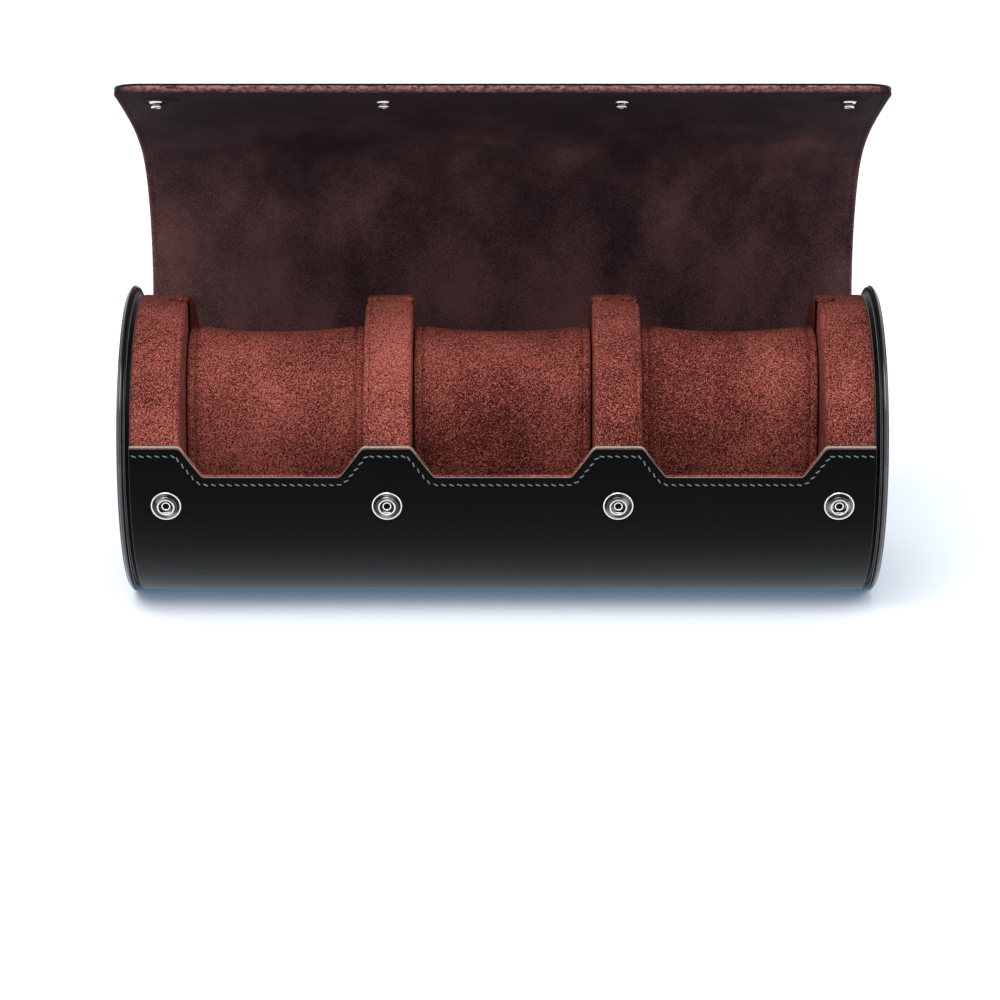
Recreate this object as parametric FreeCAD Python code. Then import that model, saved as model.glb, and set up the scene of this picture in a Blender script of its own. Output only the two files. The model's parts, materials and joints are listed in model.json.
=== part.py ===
import FreeCAD, Part
import math
import os

os.makedirs("parts", exist_ok=True)

# A roll-shaped travel case for three wristwatches.
# X runs along the roll, the front with the press snaps faces -Y, and Z is up.
# The origin is the centre of the flat strip that the roll stands on.
# A turn is an angle round the roll axis: 0 at the front, 90 at the top, 180 at the back.
# A lean is the direction of the flap's section: 0 is upright, 90 points to the front.

# Driving sizes of the body, in millimetres and degrees
body_radius = 49.0
base_flat_width = 24.0
wrap_leather = 1.2
tube_wall = 1.3
well_width = 57.0
divider_width = 15.0
end_partition_width = 15.5
end_disc_width = 2.6
end_groove_width = 1.4
lining_suede = 0.8
glue_line = 0.1
rim_rounding = 1.2

# Driving sizes of the front edge of the body
front_edge_rise = 13.5
notch_depth = 8.9
notch_slope_width = 7.2
notch_rounding = 2.0

# Driving sizes of the end discs and their piping
piping_reach = 0.5
piping_thickness = 1.1
end_disc_rounding = 0.7

# Driving sizes of the flap
hinge_turn = 160.0
hinge_proud = 0.5
closed_circle_shift = 3.9
flap_leather = 1.2
flap_board = 0.9
flap_suede = 0.7
flap_end_gap = 0.4
flap_open_lean = -34.6
flap_mid_length = 27.0
flap_front_length = 26.5
flap_edge_length = 31.9
flap_tip_reach = 14.0
flap_mid_radius = 200.0
flap_front_radius = 1000.0
flap_corner_radius = 8.0
flex_gap = 0.3
strip_gap = 0.15
spine_lining_offset = 1.0

# Driving sizes of the press snaps
snap_turn = -5.5
snap_end_inset = 11.2
snap_flange_radius = 4.75
snap_flange_thickness = 0.5
snap_flange_rim = 0.25
stud_collar_radius = 2.15
stud_collar_height = 0.8
stud_head_radius = 1.75
stud_neck_radius = 1.5
stud_height = 2.2
stud_head_height = 0.7
stud_bore_radius = 0.8
stud_bore_depth = 1.4
rivet_shank_radius = 1.4
rivet_head_radius = 3.5
rivet_head_thickness = 0.4
rivet_clearance = 0.1
rivet_bore_radius = 0.95
rivet_bore_depth = 1.2
rivet_rise = 0.45
socket_plate_thickness = 0.35
socket_ring_radius = 3.7
socket_ring_height = 1.4
socket_lip_radius = 2.2
socket_lip_thickness = 0.35
socket_cavity_radius = 3.0
socket_wire_radius = 0.22
socket_wire_offset = 2.15
cap_radius = 4.75
cap_rim_height = 0.5
cap_crown = 0.9
cap_shank_radius = 1.3

# Driving sizes of the cushions
cushion_side_clearance = 0.4
cushion_height_share = 0.7974
cushion_depth_share = 0.4849
cushion_end_share = 0.3879
cushion_crown = 0.5
cushion_saddle = 1.0
cushion_suede = 0.8
crown_share = 0.12
end_plate_width = 2.2
end_plate_rounding = 0.8
peg_reach = 6.0
peg_height = 9.0
peg_depth = 2.6
peg_rounding = 0.8
peg_rise = 18.0
peg_setback = 2.8
groove_side_clearance = 0.65
groove_end_clearance = 0.2
peg_seat_clearance = 0.25

# A length that carries a cut past the faces that it has to clear
overrun = 5.0

# Places that follow from the sizes
AXIS_X = FreeCAD.Vector(1, 0, 0)
axis_height = math.sqrt(body_radius ** 2 - (base_flat_width / 2) ** 2)
axis_point = FreeCAD.Vector(0, 0, axis_height)
tube_outer = body_radius - wrap_leather
tube_inner = tube_outer - tube_wall
inner_radius = tube_inner - glue_line
middle_wall = well_width / 2
outer_wall = middle_wall + divider_width
end_wall = outer_wall + well_width
wrap_half = end_wall + end_partition_width
disc_start = wrap_half + end_groove_width
body_half = disc_start + end_disc_width
outer_centre = (outer_wall + end_wall) / 2
well_centres = {"left": -outer_centre, "middle": 0, "right": outer_centre}
snap_outer_place = wrap_half - snap_end_inset
snap_inner_place = (middle_wall + outer_wall) / 2
snap_places = [-snap_outer_place, -snap_inner_place, snap_inner_place, snap_outer_place]


def turned(turn):
    """Unit vector in the cross-section, pointing out from the roll axis at a turn."""
    a = math.radians(turn)
    return FreeCAD.Vector(0, -math.cos(a), math.sin(a))


def inward(lean):
    """Unit vector that points from the flap's leather to its lining at a lean."""
    a = math.radians(lean)
    return FreeCAD.Vector(0, -math.cos(a), -math.sin(a))


def lean_between(start, end):
    """Lean of the straight line from one point of the cross-section to another."""
    step = end - start
    return math.degrees(math.atan2(-step.y, step.z))


def save(node, *solids):
    """Write one sub-part: a single solid, or a group of separate ones."""
    shape = solids[0] if len(solids) == 1 else Part.makeCompound(list(solids))
    shape.exportStep("parts/" + node + ".step")


def block(x0, x1, y0, y1, z0, z1):
    """Box between two values on each axis."""
    return Part.makeBox(x1 - x0, y1 - y0, z1 - z0, FreeCAD.Vector(x0, y0, z0))


def roll(radius, x0, x1, floor, rounded=(), rounding=0):
    """Round bar on the roll axis, cut flat at floor, with the rims at the rounded x values eased."""
    bar = Part.makeCylinder(radius, x1 - x0, FreeCAD.Vector(x0, 0, axis_height), AXIS_X)
    rims = []
    for edge in bar.Edges:
        if edge.Closed and any(abs(edge.CenterOfMass.x - x) < glue_line for x in rounded):
            rims.append(edge)
    if rims:
        bar = bar.makeFillet(rounding, rims)
    reach = radius + overrun
    return bar.common(block(x0, x1, -reach, reach, floor, axis_height + reach))


def extruded(edges, x0, x1):
    """Solid from the edges of a section in the plane x = 0, run from x0 to x1."""
    face = Part.Face(Part.Wire(edges))
    face.translate(FreeCAD.Vector(x0, 0, 0))
    return face.extrude(FreeCAD.Vector(x1 - x0, 0, 0))


def arc_band(centre, outer, inner, lean_0, lean_1, x_half):
    """Part of a ring between two radii; each end is a (lean at outer, lean at inner) pair."""

    def spot(radius, lean):
        return centre - inward(lean) * radius

    a0, b0 = lean_0
    a1, b1 = lean_1
    edges = [
        Part.Arc(spot(outer, a0), spot(outer, (a0 + a1) / 2), spot(outer, a1)).toShape(),
        Part.makeLine(spot(outer, a1), spot(inner, b1)),
        Part.Arc(spot(inner, b1), spot(inner, (b0 + b1) / 2), spot(inner, b0)).toShape(),
        Part.makeLine(spot(inner, b0), spot(outer, a0)),
    ]
    return extruded(edges, -x_half, x_half)


# Hinge line of the flap and the place where the wrapped leather leaves the tube
leather_mid = body_radius - wrap_leather / 2
hinge_radius = leather_mid + hinge_proud
hinge_point = axis_point + turned(hinge_turn) * hinge_radius
flex_reach = math.sqrt(hinge_radius ** 2 - leather_mid ** 2)
wrap_end_turn = hinge_turn + math.degrees(math.acos(leather_mid / hinge_radius))

# Circle that the leather follows when the flap is shut
closed_centre = axis_point - FreeCAD.Vector(0, closed_circle_shift, 0)
closed_mid_radius = (hinge_point - closed_centre).Length
closed_outer_radius = closed_mid_radius + flap_leather / 2
closed_hinge_lean = math.degrees(math.atan2(
    hinge_point.z - closed_centre.z, hinge_point.y - closed_centre.y))
flap_thickness = flap_leather + flap_board + flap_suede
flap_half = disc_start - flap_end_gap


def front_cutter():
    """Everything above the front edge of the body: a straight rise with one notch for each well."""
    high = axis_height + front_edge_rise
    low = high - notch_depth
    top = axis_height + body_radius + overrun
    points = [(-wrap_half - overrun, top), (-wrap_half - overrun, high)]
    for centre in sorted(well_centres.values()):
        for side in (-1, 1):
            wall = (centre + side * well_width / 2, high)
            foot = (centre + side * (well_width / 2 - notch_slope_width), low)
            points += [wall, foot] if side < 0 else [foot, wall]
    points += [(wrap_half + overrun, high), (wrap_half + overrun, top)]
    corners = [FreeCAD.Vector(x, 0, z) for x, z in points]
    face = Part.Face(Part.makePolygon(corners + corners[:1]))
    tool = face.extrude(FreeCAD.Vector(0, -body_radius - overrun, 0))
    bends = []
    for edge in tool.Edges:
        a, b = edge.Vertexes[0].Point, edge.Vertexes[1].Point
        crosses = abs(a.y - b.y) > body_radius
        inside = abs(a.x) < wrap_half and abs(a.z - top) > overrun
        if crosses and inside:
            bends.append(edge)
    return tool.makeFillet(notch_rounding, bends)


def mouth_cutter():
    """Open sector of the body, from above the front edge over the top to the back edge."""
    far = body_radius * 2
    high = axis_height + front_edge_rise
    back = axis_point + turned(wrap_end_turn) * far
    corners = [
        FreeCAD.Vector(0, 0, axis_height),
        FreeCAD.Vector(0, back.y, back.z),
        FreeCAD.Vector(0, far, axis_height + far),
        FreeCAD.Vector(0, 0, axis_height + far),
        FreeCAD.Vector(0, 0, high),
    ]
    face = Part.Face(Part.makePolygon(corners + corners[:1]))
    face.translate(FreeCAD.Vector(-wrap_half - overrun, 0, 0))
    return face.extrude(FreeCAD.Vector(2 * (wrap_half + overrun), 0, 0))


def body_layer(outer, inner, x0, x1, cutters):
    """One layer of the body wall: a tube with its flat foot, cut open for the mouth."""
    layer = roll(outer, x0, x1, body_radius - outer)
    hollow = roll(inner, x0 - overrun, x1 + overrun, body_radius - inner)
    layer = layer.cut(hollow)
    for cutter in cutters:
        layer = layer.cut(cutter)
    return layer


def facing(place, direction):
    """Placement that carries a part made upright on the origin to a place and direction."""
    return FreeCAD.Placement(place, FreeCAD.Rotation(FreeCAD.Vector(0, 0, 1), direction))


def socket_place(x):
    """Placement of a snap socket on the front of the body: its foot on the wrapped leather."""
    out = turned(snap_turn)
    return facing(axis_point + out * body_radius + FreeCAD.Vector(x, 0, 0), out)


def turned_profile(points):
    """Solid of revolution about Z from (radius, height) points, closed on the axis."""
    corners = [FreeCAD.Vector(r, 0, z) for r, z in points]
    face = Part.Face(Part.makePolygon(corners + corners[:1]))
    return face.revolve(FreeCAD.Vector(0, 0, 0), FreeCAD.Vector(0, 0, 1), 360)


def snap_socket(x):
    """Socket half of a snap: a plate bent to the body and a ring whose lip takes the stud's head."""
    shank_hole = rivet_shank_radius + rivet_clearance
    foot = -snap_flange_rim * 2
    top = socket_ring_height
    profile = [
        (shank_hole, foot),
        (snap_flange_radius, foot),
        (snap_flange_radius, socket_plate_thickness),
        (socket_ring_radius, socket_plate_thickness),
        (socket_ring_radius, top - snap_flange_rim),
        (socket_ring_radius - snap_flange_rim, top),
        (socket_lip_radius, top),
        (socket_lip_radius, top - socket_lip_thickness),
        (socket_cavity_radius, top - socket_lip_thickness),
        (socket_cavity_radius, socket_plate_thickness),
        (shank_hole, socket_plate_thickness),
    ]
    socket = turned_profile(profile)
    socket.Placement = socket_place(x)
    return socket.cut(roll(body_radius, -wrap_half, wrap_half, 0))


def snap_springs(x):
    """The two spring wires of a socket, one each side of the stud's neck."""
    reach = math.sqrt(socket_cavity_radius ** 2 - (socket_wire_offset + socket_wire_radius) ** 2)
    reach = reach - glue_line
    height = socket_ring_height - socket_lip_thickness - socket_wire_radius - glue_line
    wires = []
    for side in (-1, 1):
        foot = FreeCAD.Vector(-reach, side * socket_wire_offset, height)
        wire = Part.makeCylinder(socket_wire_radius, 2 * reach, foot, AXIS_X)
        wire.Placement = socket_place(x) * wire.Placement
        wires.append(wire)
    return wires


def snap_rivet(x):
    """Rivet that holds a socket: its head in the tube wall, its hollow shank up through the leather."""
    head_floor = -(body_radius - tube_inner) + rivet_clearance
    head_top = head_floor + rivet_head_thickness
    profile = [
        (0, head_floor),
        (rivet_head_radius, head_floor),
        (rivet_head_radius, head_top),
        (rivet_shank_radius, head_top),
        (rivet_shank_radius, rivet_rise),
        (rivet_bore_radius, rivet_rise),
        (rivet_bore_radius, rivet_rise - rivet_bore_depth),
        (0, rivet_rise - rivet_bore_depth),
    ]
    rivet = turned_profile(profile)
    rivet.Placement = socket_place(x)
    return rivet


def rivet_cutter(x):
    """Hole for a rivet's shank and the pocket for its head."""
    wall = body_radius - tube_inner
    pocket_top = -wall + rivet_head_thickness + 2 * rivet_clearance
    profile = [
        (0, -wall - overrun),
        (rivet_head_radius + rivet_clearance, -wall - overrun),
        (rivet_head_radius + rivet_clearance, pocket_top),
        (rivet_shank_radius + rivet_clearance, pocket_top),
        (rivet_shank_radius + rivet_clearance, overrun),
        (0, overrun),
    ]
    tool = turned_profile(profile)
    tool.Placement = socket_place(x)
    return tool


def make_body_walls():
    """Outer leather, tube and the suede linings of the three wells."""
    cutters = [front_cutter(), mouth_cutter()] + [rivet_cutter(x) for x in snap_places]
    save("outer_wrap", body_layer(body_radius, tube_outer, -wrap_half, wrap_half, cutters))
    save("tube_board", body_layer(tube_outer, tube_inner, -wrap_half, wrap_half, cutters))
    for side, centre in well_centres.items():
        x0 = centre - well_width / 2 + glue_line
        x1 = centre + well_width / 2 - glue_line
        lining = body_layer(inner_radius, inner_radius - lining_suede, x0, x1, cutters[:2])
        save("well_lining_" + side, lining)


def partition(x0, x1, grooved):
    """Suede-covered disc across the tube, with a peg groove in each side listed in grooved."""
    disc = roll(inner_radius, x0, x1, body_radius - inner_radius, (x0, x1), rim_rounding)
    groove_half = peg_depth / 2 + groove_side_clearance
    floor = axis_height + peg_rise - peg_height / 2 - peg_seat_clearance
    top = axis_height + body_radius
    reach = peg_reach - cushion_side_clearance + groove_end_clearance
    for side in grooved:
        face = x1 if side > 0 else x0
        a, b = sorted((face - side * reach, face + side * overrun))
        disc = disc.cut(block(a, b, peg_setback - groove_half, peg_setback + groove_half, floor, top))
    return disc


def end_piping(x0, x1):
    """Bead round the rim of an end disc, half-round outside, cut flat at the foot."""
    outer = body_radius + piping_reach
    inner = outer - piping_thickness
    shoulder = outer - (x1 - x0) / 2
    flank = max(inner, shoulder)
    middle = (x0 + x1) / 2
    edges = [
        Part.makeLine(FreeCAD.Vector(x0, 0, inner), FreeCAD.Vector(x1, 0, inner)),
        Part.makeLine(FreeCAD.Vector(x1, 0, inner), FreeCAD.Vector(x1, 0, flank + glue_line)),
        Part.Arc(
            FreeCAD.Vector(x1, 0, flank + glue_line),
            FreeCAD.Vector(middle, 0, outer),
            FreeCAD.Vector(x0, 0, flank + glue_line),
        ).toShape(),
        Part.makeLine(FreeCAD.Vector(x0, 0, flank + glue_line), FreeCAD.Vector(x0, 0, inner)),
    ]
    ring = Part.Face(Part.Wire(edges)).revolve(FreeCAD.Vector(0, 0, 0), AXIS_X, 360)
    ring.translate(axis_point)
    reach = outer + overrun
    return ring.common(block(x0, x1, -reach, reach, 0, axis_height + reach))


def make_ends_and_dividers():
    """End partitions, groove collars, end discs with their piping, and the two dividers."""
    for name, sign in (("left", -1), ("right", 1)):
        x0, x1 = sorted((sign * end_wall, sign * wrap_half))
        save("end_partition_" + name, partition(x0, x1, [-sign]))
        x0, x1 = sorted((sign * wrap_half, sign * disc_start))
        save("end_collar_" + name, roll(inner_radius, x0, x1, body_radius - inner_radius))
        x0, x1 = sorted((sign * disc_start, sign * body_half))
        radius = body_radius + piping_reach - piping_thickness - glue_line
        save("end_disc_" + name, roll(radius, x0, x1, 0, (sign * body_half,), end_disc_rounding))
        save("end_piping_" + name, end_piping(x0, x1))
        x0, x1 = sorted((sign * middle_wall, sign * outer_wall))
        save("divider_" + name, partition(x0, x1, [-1, 1]))


def make_body_snaps():
    """The four sockets on the front of the body, their springs and the rivets that hold them."""
    save("snap_sockets", *[snap_socket(x) for x in snap_places])
    save("snap_springs", *[wire for x in snap_places for wire in snap_springs(x)])
    save("snap_rivets", *[snap_rivet(x) for x in snap_places])


class Panel:
    """One stiff length of the flap: an arc that starts on a pivot line with a given lean."""

    def __init__(self, pivot, lean, radius, length, start, end):
        """start and end are (setback from the pivot line, bevel in degrees) of the two ends."""
        self.pivot = pivot
        self.lean = lean
        self.radius = radius
        self.start = start
        self.finish = end
        self.centre = pivot + inward(lean) * radius
        self.end_lean = lean + math.degrees(length / radius)
        self.end = self.centre - inward(self.end_lean) * radius

    def layer(self, depth_0, depth_1, x_half):
        """Layer between two depths below the leather face, its ends set back and bevelled."""
        leans = []
        for depth in (depth_0, depth_1):
            first, last = [
                math.degrees((setback + depth * math.tan(math.radians(bevel))) / (self.radius - depth))
                for setback, bevel in (self.start, self.finish)
            ]
            leans.append((self.lean + first, self.end_lean - last))
        (first_0, last_0), (first_1, last_1) = leans
        return arc_band(self.centre, self.radius - depth_0, self.radius - depth_1,
                        (first_0, first_1), (last_0, last_1), x_half)


def closing_bends():
    """Bend of each flex line between the open flap and the shut one, in degrees."""
    chords = [math.degrees(math.asin(length / (2 * closed_outer_radius)))
              for length in (flap_mid_length, flap_front_length, flap_edge_length)]
    relaxed = [math.degrees(flap_mid_length / (2 * flap_mid_radius)),
               math.degrees(flap_front_length / (2 * flap_front_radius)),
               math.degrees(flap_edge_length / (2 * flap_front_radius))]
    return [
        chords[0] - relaxed[0],
        chords[0] + chords[1] - relaxed[0] - relaxed[1],
        chords[1] + chords[2] - relaxed[1] - relaxed[2],
    ]


# Length of the flap, so that the snaps meet and the tip reaches past them
snap_lean = 180 + math.degrees(math.atan2(
    -math.sin(math.radians(snap_turn)) * body_radius,
    body_radius * math.cos(math.radians(snap_turn)) - closed_circle_shift))
flap_length = math.radians(snap_lean - closed_hinge_lean) * closed_outer_radius + flap_tip_reach
flap_back_length = flap_length - flap_mid_length - flap_front_length - flap_edge_length
fold_angle = closed_hinge_lean - flap_open_lean
bends = closing_bends()

# The four panels in the open position; where two meet, each end is bevelled by half the bend
flap_start = hinge_point - inward(flap_open_lean) * (flap_leather / 2)
joints = [(flex_gap / 2, bend / 2) for bend in bends]
back_panel = Panel(flap_start, flap_open_lean, closed_outer_radius, flap_back_length,
                   (flex_reach + flex_gap / 2, 0), joints[0])
mid_panel = Panel(back_panel.end, back_panel.end_lean, flap_mid_radius, flap_mid_length,
                  joints[0], joints[1])
front_panel = Panel(mid_panel.end, mid_panel.end_lean, flap_front_radius, flap_front_length,
                    joints[1], joints[2])
edge_panel = Panel(front_panel.end, front_panel.end_lean, flap_front_radius, flap_edge_length,
                   joints[2], (-overrun, 0))


def shutting():
    """Placement that carries the last panel from open to shut and pressed down."""
    total = FreeCAD.Placement()
    turns = ((hinge_point, fold_angle), (back_panel.end, bends[0]),
             (mid_panel.end, bends[1]), (front_panel.end, bends[2]))
    for pivot, angle in turns:
        total = total * FreeCAD.Placement(FreeCAD.Vector(0, 0, 0), FreeCAD.Rotation(AXIS_X, angle), pivot)
    return total


def snap_station():
    """Lean of the last panel at the point that meets the sockets when the flap is shut."""
    middle = body_radius + snap_flange_thickness + stud_height
    target = shutting().inverse().multVec(axis_point + turned(snap_turn) * middle)
    out = target - edge_panel.centre
    return math.degrees(math.atan2(out.z, out.y))


def flap_snap_place(x, depth):
    """Placement on the last panel at a depth below its leather, pointing to the lining side."""
    lean = snap_station()
    place = edge_panel.centre - inward(lean) * (edge_panel.radius - depth)
    return facing(place + FreeCAD.Vector(x, 0, 0), inward(lean))


def tip_outline():
    """Block with the rounded tip corners, square to the last panel."""
    tip = edge_panel.end
    length = flap_edge_length + overrun
    size = FreeCAD.Vector(2 * flap_half, length, 4 * overrun)
    box = Part.makeBox(size.x, size.y, size.z, FreeCAD.Vector(-flap_half, -length, -size.z / 2))
    corners = []
    for edge in box.Edges:
        a, b = edge.Vertexes[0].Point, edge.Vertexes[1].Point
        if abs(a.z - b.z) > overrun and abs(a.y) < glue_line:
            corners.append(edge)
    box = box.makeFillet(flap_corner_radius, corners)
    lean = edge_panel.end_lean
    box.Placement = FreeCAD.Placement(tip, FreeCAD.Rotation(AXIS_X, 90 + lean))
    return box


def make_flap():
    """Leather, board and suede lining of the four flap panels."""
    depths = (
        ("leather", 0, flap_leather),
        ("board", flap_leather, flap_leather + flap_board),
        ("suede", flap_leather + flap_board, flap_thickness),
    )
    outline = tip_outline()
    for name, panel in (("back", back_panel), ("mid", mid_panel),
                        ("front", front_panel), ("edge", edge_panel)):
        for layer_name, depth_0, depth_1 in depths:
            if name != "edge":
                layer = panel.layer(depth_0, depth_1, flap_half)
            else:
                layer = panel.layer(depth_0, depth_1, flap_half + overrun).common(outline)
                for x in snap_places:
                    hole = Part.makeCylinder(cap_shank_radius + rivet_clearance, 2 * overrun)
                    hole.Placement = flap_snap_place(x, -overrun)
                    layer = layer.cut(hole)
            save("flap_" + name + "_" + layer_name, layer)


def make_spine():
    """Leather and suede that bend at the hinge, as one arc between the wrap and the flap."""
    start_turn = wrap_end_turn - math.degrees(strip_gap / leather_mid)
    start = axis_point + turned(start_turn) * leather_mid
    start_lean = 180 - start_turn
    mid_radius = closed_outer_radius - flap_leather / 2
    end_lean = flap_open_lean + math.degrees((flex_reach + flex_gap / 2 - strip_gap) / mid_radius)
    end = back_panel.centre - inward(end_lean) * mid_radius
    swing = lean_between(start, end) - start_lean
    radius = (end - start).Length / (2 * math.sin(math.radians(abs(swing))))
    centre = start - inward(start_lean) * radius
    half = flap_leather / 2
    first = (start_lean + 180, start_lean + 180)
    last = (start_lean + 2 * swing + 180, start_lean + 2 * swing + 180)
    save("spine_strip", arc_band(centre, radius + half, radius - half, first, last, wrap_half))
    inner = radius + spine_lining_offset
    save("spine_lining", arc_band(centre, inner + flap_suede, inner, first, last, wrap_half))


def snap_cap(x):
    """Cap half of a snap: a low dome on the leather and a shank through the flap."""
    shank_end = -(flap_thickness + glue_line + snap_flange_rim)
    crown_height = cap_rim_height + cap_crown
    rise = cap_crown
    dome_radius = (cap_radius ** 2 + rise ** 2) / (2 * rise)
    dome = Part.makeSphere(dome_radius, FreeCAD.Vector(0, 0, crown_height - dome_radius))
    blank = Part.makeCylinder(cap_radius, crown_height)
    cap = blank.common(dome)
    foot = min(cap.Edges, key=lambda e: e.BoundBox.ZMax)
    cap = cap.makeFillet(snap_flange_rim / 2, [foot])
    shank = Part.makeCylinder(cap_shank_radius, -shank_end, FreeCAD.Vector(0, 0, shank_end))
    cap = cap.fuse(shank)
    place = flap_snap_place(x, 0)
    cap.Placement = place * FreeCAD.Placement(FreeCAD.Vector(0, 0, 0), FreeCAD.Rotation(AXIS_X, 180))
    return cap


def snap_stud(x):
    """Stud half of a snap, under its cap: rolled flange, low collar and a cored post with a head."""
    shank_hole = cap_shank_radius + rivet_clearance
    rim = snap_flange_rim
    bore_floor = stud_height - stud_bore_depth
    neck_top = stud_height - stud_head_height
    profile = [
        (shank_hole, 0),
        (snap_flange_radius, 0),
        (snap_flange_radius, rim),
        (snap_flange_radius - rim, snap_flange_thickness),
        (stud_collar_radius + rim, snap_flange_thickness),
        (stud_collar_radius, stud_collar_height),
        (stud_collar_radius - rim, stud_collar_height),
        (stud_neck_radius + rim, snap_flange_thickness + rim),
        (stud_neck_radius, snap_flange_thickness + rim),
        (stud_neck_radius, neck_top),
        (stud_head_radius, neck_top + rim),
        (stud_head_radius, stud_height - rim),
        (stud_head_radius - rim, stud_height),
        (stud_bore_radius, stud_height),
        (stud_bore_radius, bore_floor),
        (0, bore_floor),
        (0, rim),
        (shank_hole, rim),
    ]
    stud = turned_profile(profile)
    stud.Placement = flap_snap_place(x, flap_thickness + glue_line)
    return stud


def make_flap_snaps():
    """Caps and studs of the four snaps on the flap's edge."""
    save("snap_caps", *[snap_cap(x) for x in snap_places])
    save("snap_studs", *[snap_stud(x) for x in snap_places])


def oval(x, grow):
    """Upright oval of four arcs, its round top and foot and two bowed sides all grown alike."""
    half_height = inner_radius * cushion_height_share + grow
    half_depth = inner_radius * cushion_depth_share + grow
    end_radius = inner_radius * cushion_end_share + grow
    rise = half_height - end_radius
    side_radius = (half_depth ** 2 + rise ** 2 - end_radius ** 2) / (2 * (half_depth - end_radius))
    lean = math.atan2(rise, side_radius - half_depth)
    joint_y = end_radius * math.cos(lean)
    joint_z = rise + end_radius * math.sin(lean)

    def spot(y, z):
        return FreeCAD.Vector(x, y, axis_height + z)

    edges = [
        Part.Arc(spot(-joint_y, joint_z), spot(0, half_height), spot(joint_y, joint_z)),
        Part.Arc(spot(joint_y, joint_z), spot(half_depth, 0), spot(joint_y, -joint_z)),
        Part.Arc(spot(joint_y, -joint_z), spot(0, -half_height), spot(-joint_y, -joint_z)),
        Part.Arc(spot(-joint_y, -joint_z), spot(-half_depth, 0), spot(-joint_y, joint_z)),
    ]
    return Part.Wire([edge.toShape() for edge in edges])


def pillow(centre, half_width, inset):
    """Padded form between two seams: it crowns beyond each seam and sags in the middle."""
    sections = []
    swells = ((-1, 0), (-1 + crown_share, cushion_crown), (0, -cushion_saddle),
              (1 - crown_share, cushion_crown), (1, 0))
    for share, swell in swells:
        sections.append(oval(centre + share * half_width, swell - inset))
    return Part.makeLoft(sections, True, False)


def end_plate(x0, x1, outside):
    """Suede-covered oval plate that closes one end of a cushion."""
    plate = Part.Face(oval(x0, 0)).extrude(FreeCAD.Vector(x1 - x0, 0, 0))
    rim = []
    for edge in plate.Edges:
        if abs(edge.BoundBox.XMin - outside) < glue_line and edge.BoundBox.XLength < glue_line:
            rim.append(edge)
    return plate.makeFillet(end_plate_rounding, rim)


def peg(x0, x1, outside):
    """Flat suede peg on an end plate that slides down in a groove."""
    low_y = peg_setback - peg_depth / 2
    low_z = axis_height + peg_rise - peg_height / 2
    bar = block(x0, x1, low_y, low_y + peg_depth, low_z, low_z + peg_height)
    rim = []
    for edge in bar.Edges:
        if abs(edge.BoundBox.XMin - outside) < glue_line and edge.BoundBox.XLength < glue_line:
            rim.append(edge)
    return bar.makeFillet(peg_rounding, rim)


def make_cushions():
    """Cover, foam core, end plates and pegs of the three lift-out cushions."""
    half = well_width / 2 - cushion_side_clearance
    seam = half - end_plate_width
    for side, centre in well_centres.items():
        name = "cushion_" + side
        cover = pillow(centre, seam, 0)
        hollow = pillow(centre, seam, cushion_suede)
        save(name + "_cover", cover.cut(hollow))
        save(name + "_core", pillow(centre, seam - glue_line, cushion_suede + glue_line))
        plates, pegs = [], []
        for sign in (-1, 1):
            outside = centre + sign * half
            x0, x1 = sorted((centre + sign * seam, outside))
            plates.append(end_plate(x0, x1, outside))
            tip = outside + sign * peg_reach
            x0, x1 = sorted((outside, tip))
            pegs.append(peg(x0, x1, tip))
        save(name + "_end_plates", *plates)
        save(name + "_pegs", *pegs)


make_body_walls()
make_ends_and_dividers()
make_body_snaps()
make_spine()
make_flap()
make_flap_snaps()
make_cushions()

print("roll axis height", round(axis_height, 4))
print("hinge point", round(hinge_point.y, 4), round(hinge_point.z, 4), "closes by", round(fold_angle, 3))
for label, point, bend in zip(("back", "mid", "front"),
                              (back_panel.end, mid_panel.end, front_panel.end), bends):
    print("flex line after", label, round(point.y, 4), round(point.z, 4), "bends by", round(bend, 3))
print("flap tip", round(edge_panel.end.y, 3), round(edge_panel.end.z, 3))
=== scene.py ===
# %% [markdown]
# # A travel roll with three wells
# A stiff tube covered in black leather lies on a narrow flat foot. A flap lined with suede folds over
# its open top and snaps to the front. Inside are three wells with a suede cushion in each.
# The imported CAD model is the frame: it says where every part is, and what moves with what. This lesson
# dresses it in surfaces worked out with numpy, one piece of the real case at a time.

# %% Load the frame
import json
import math

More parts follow.
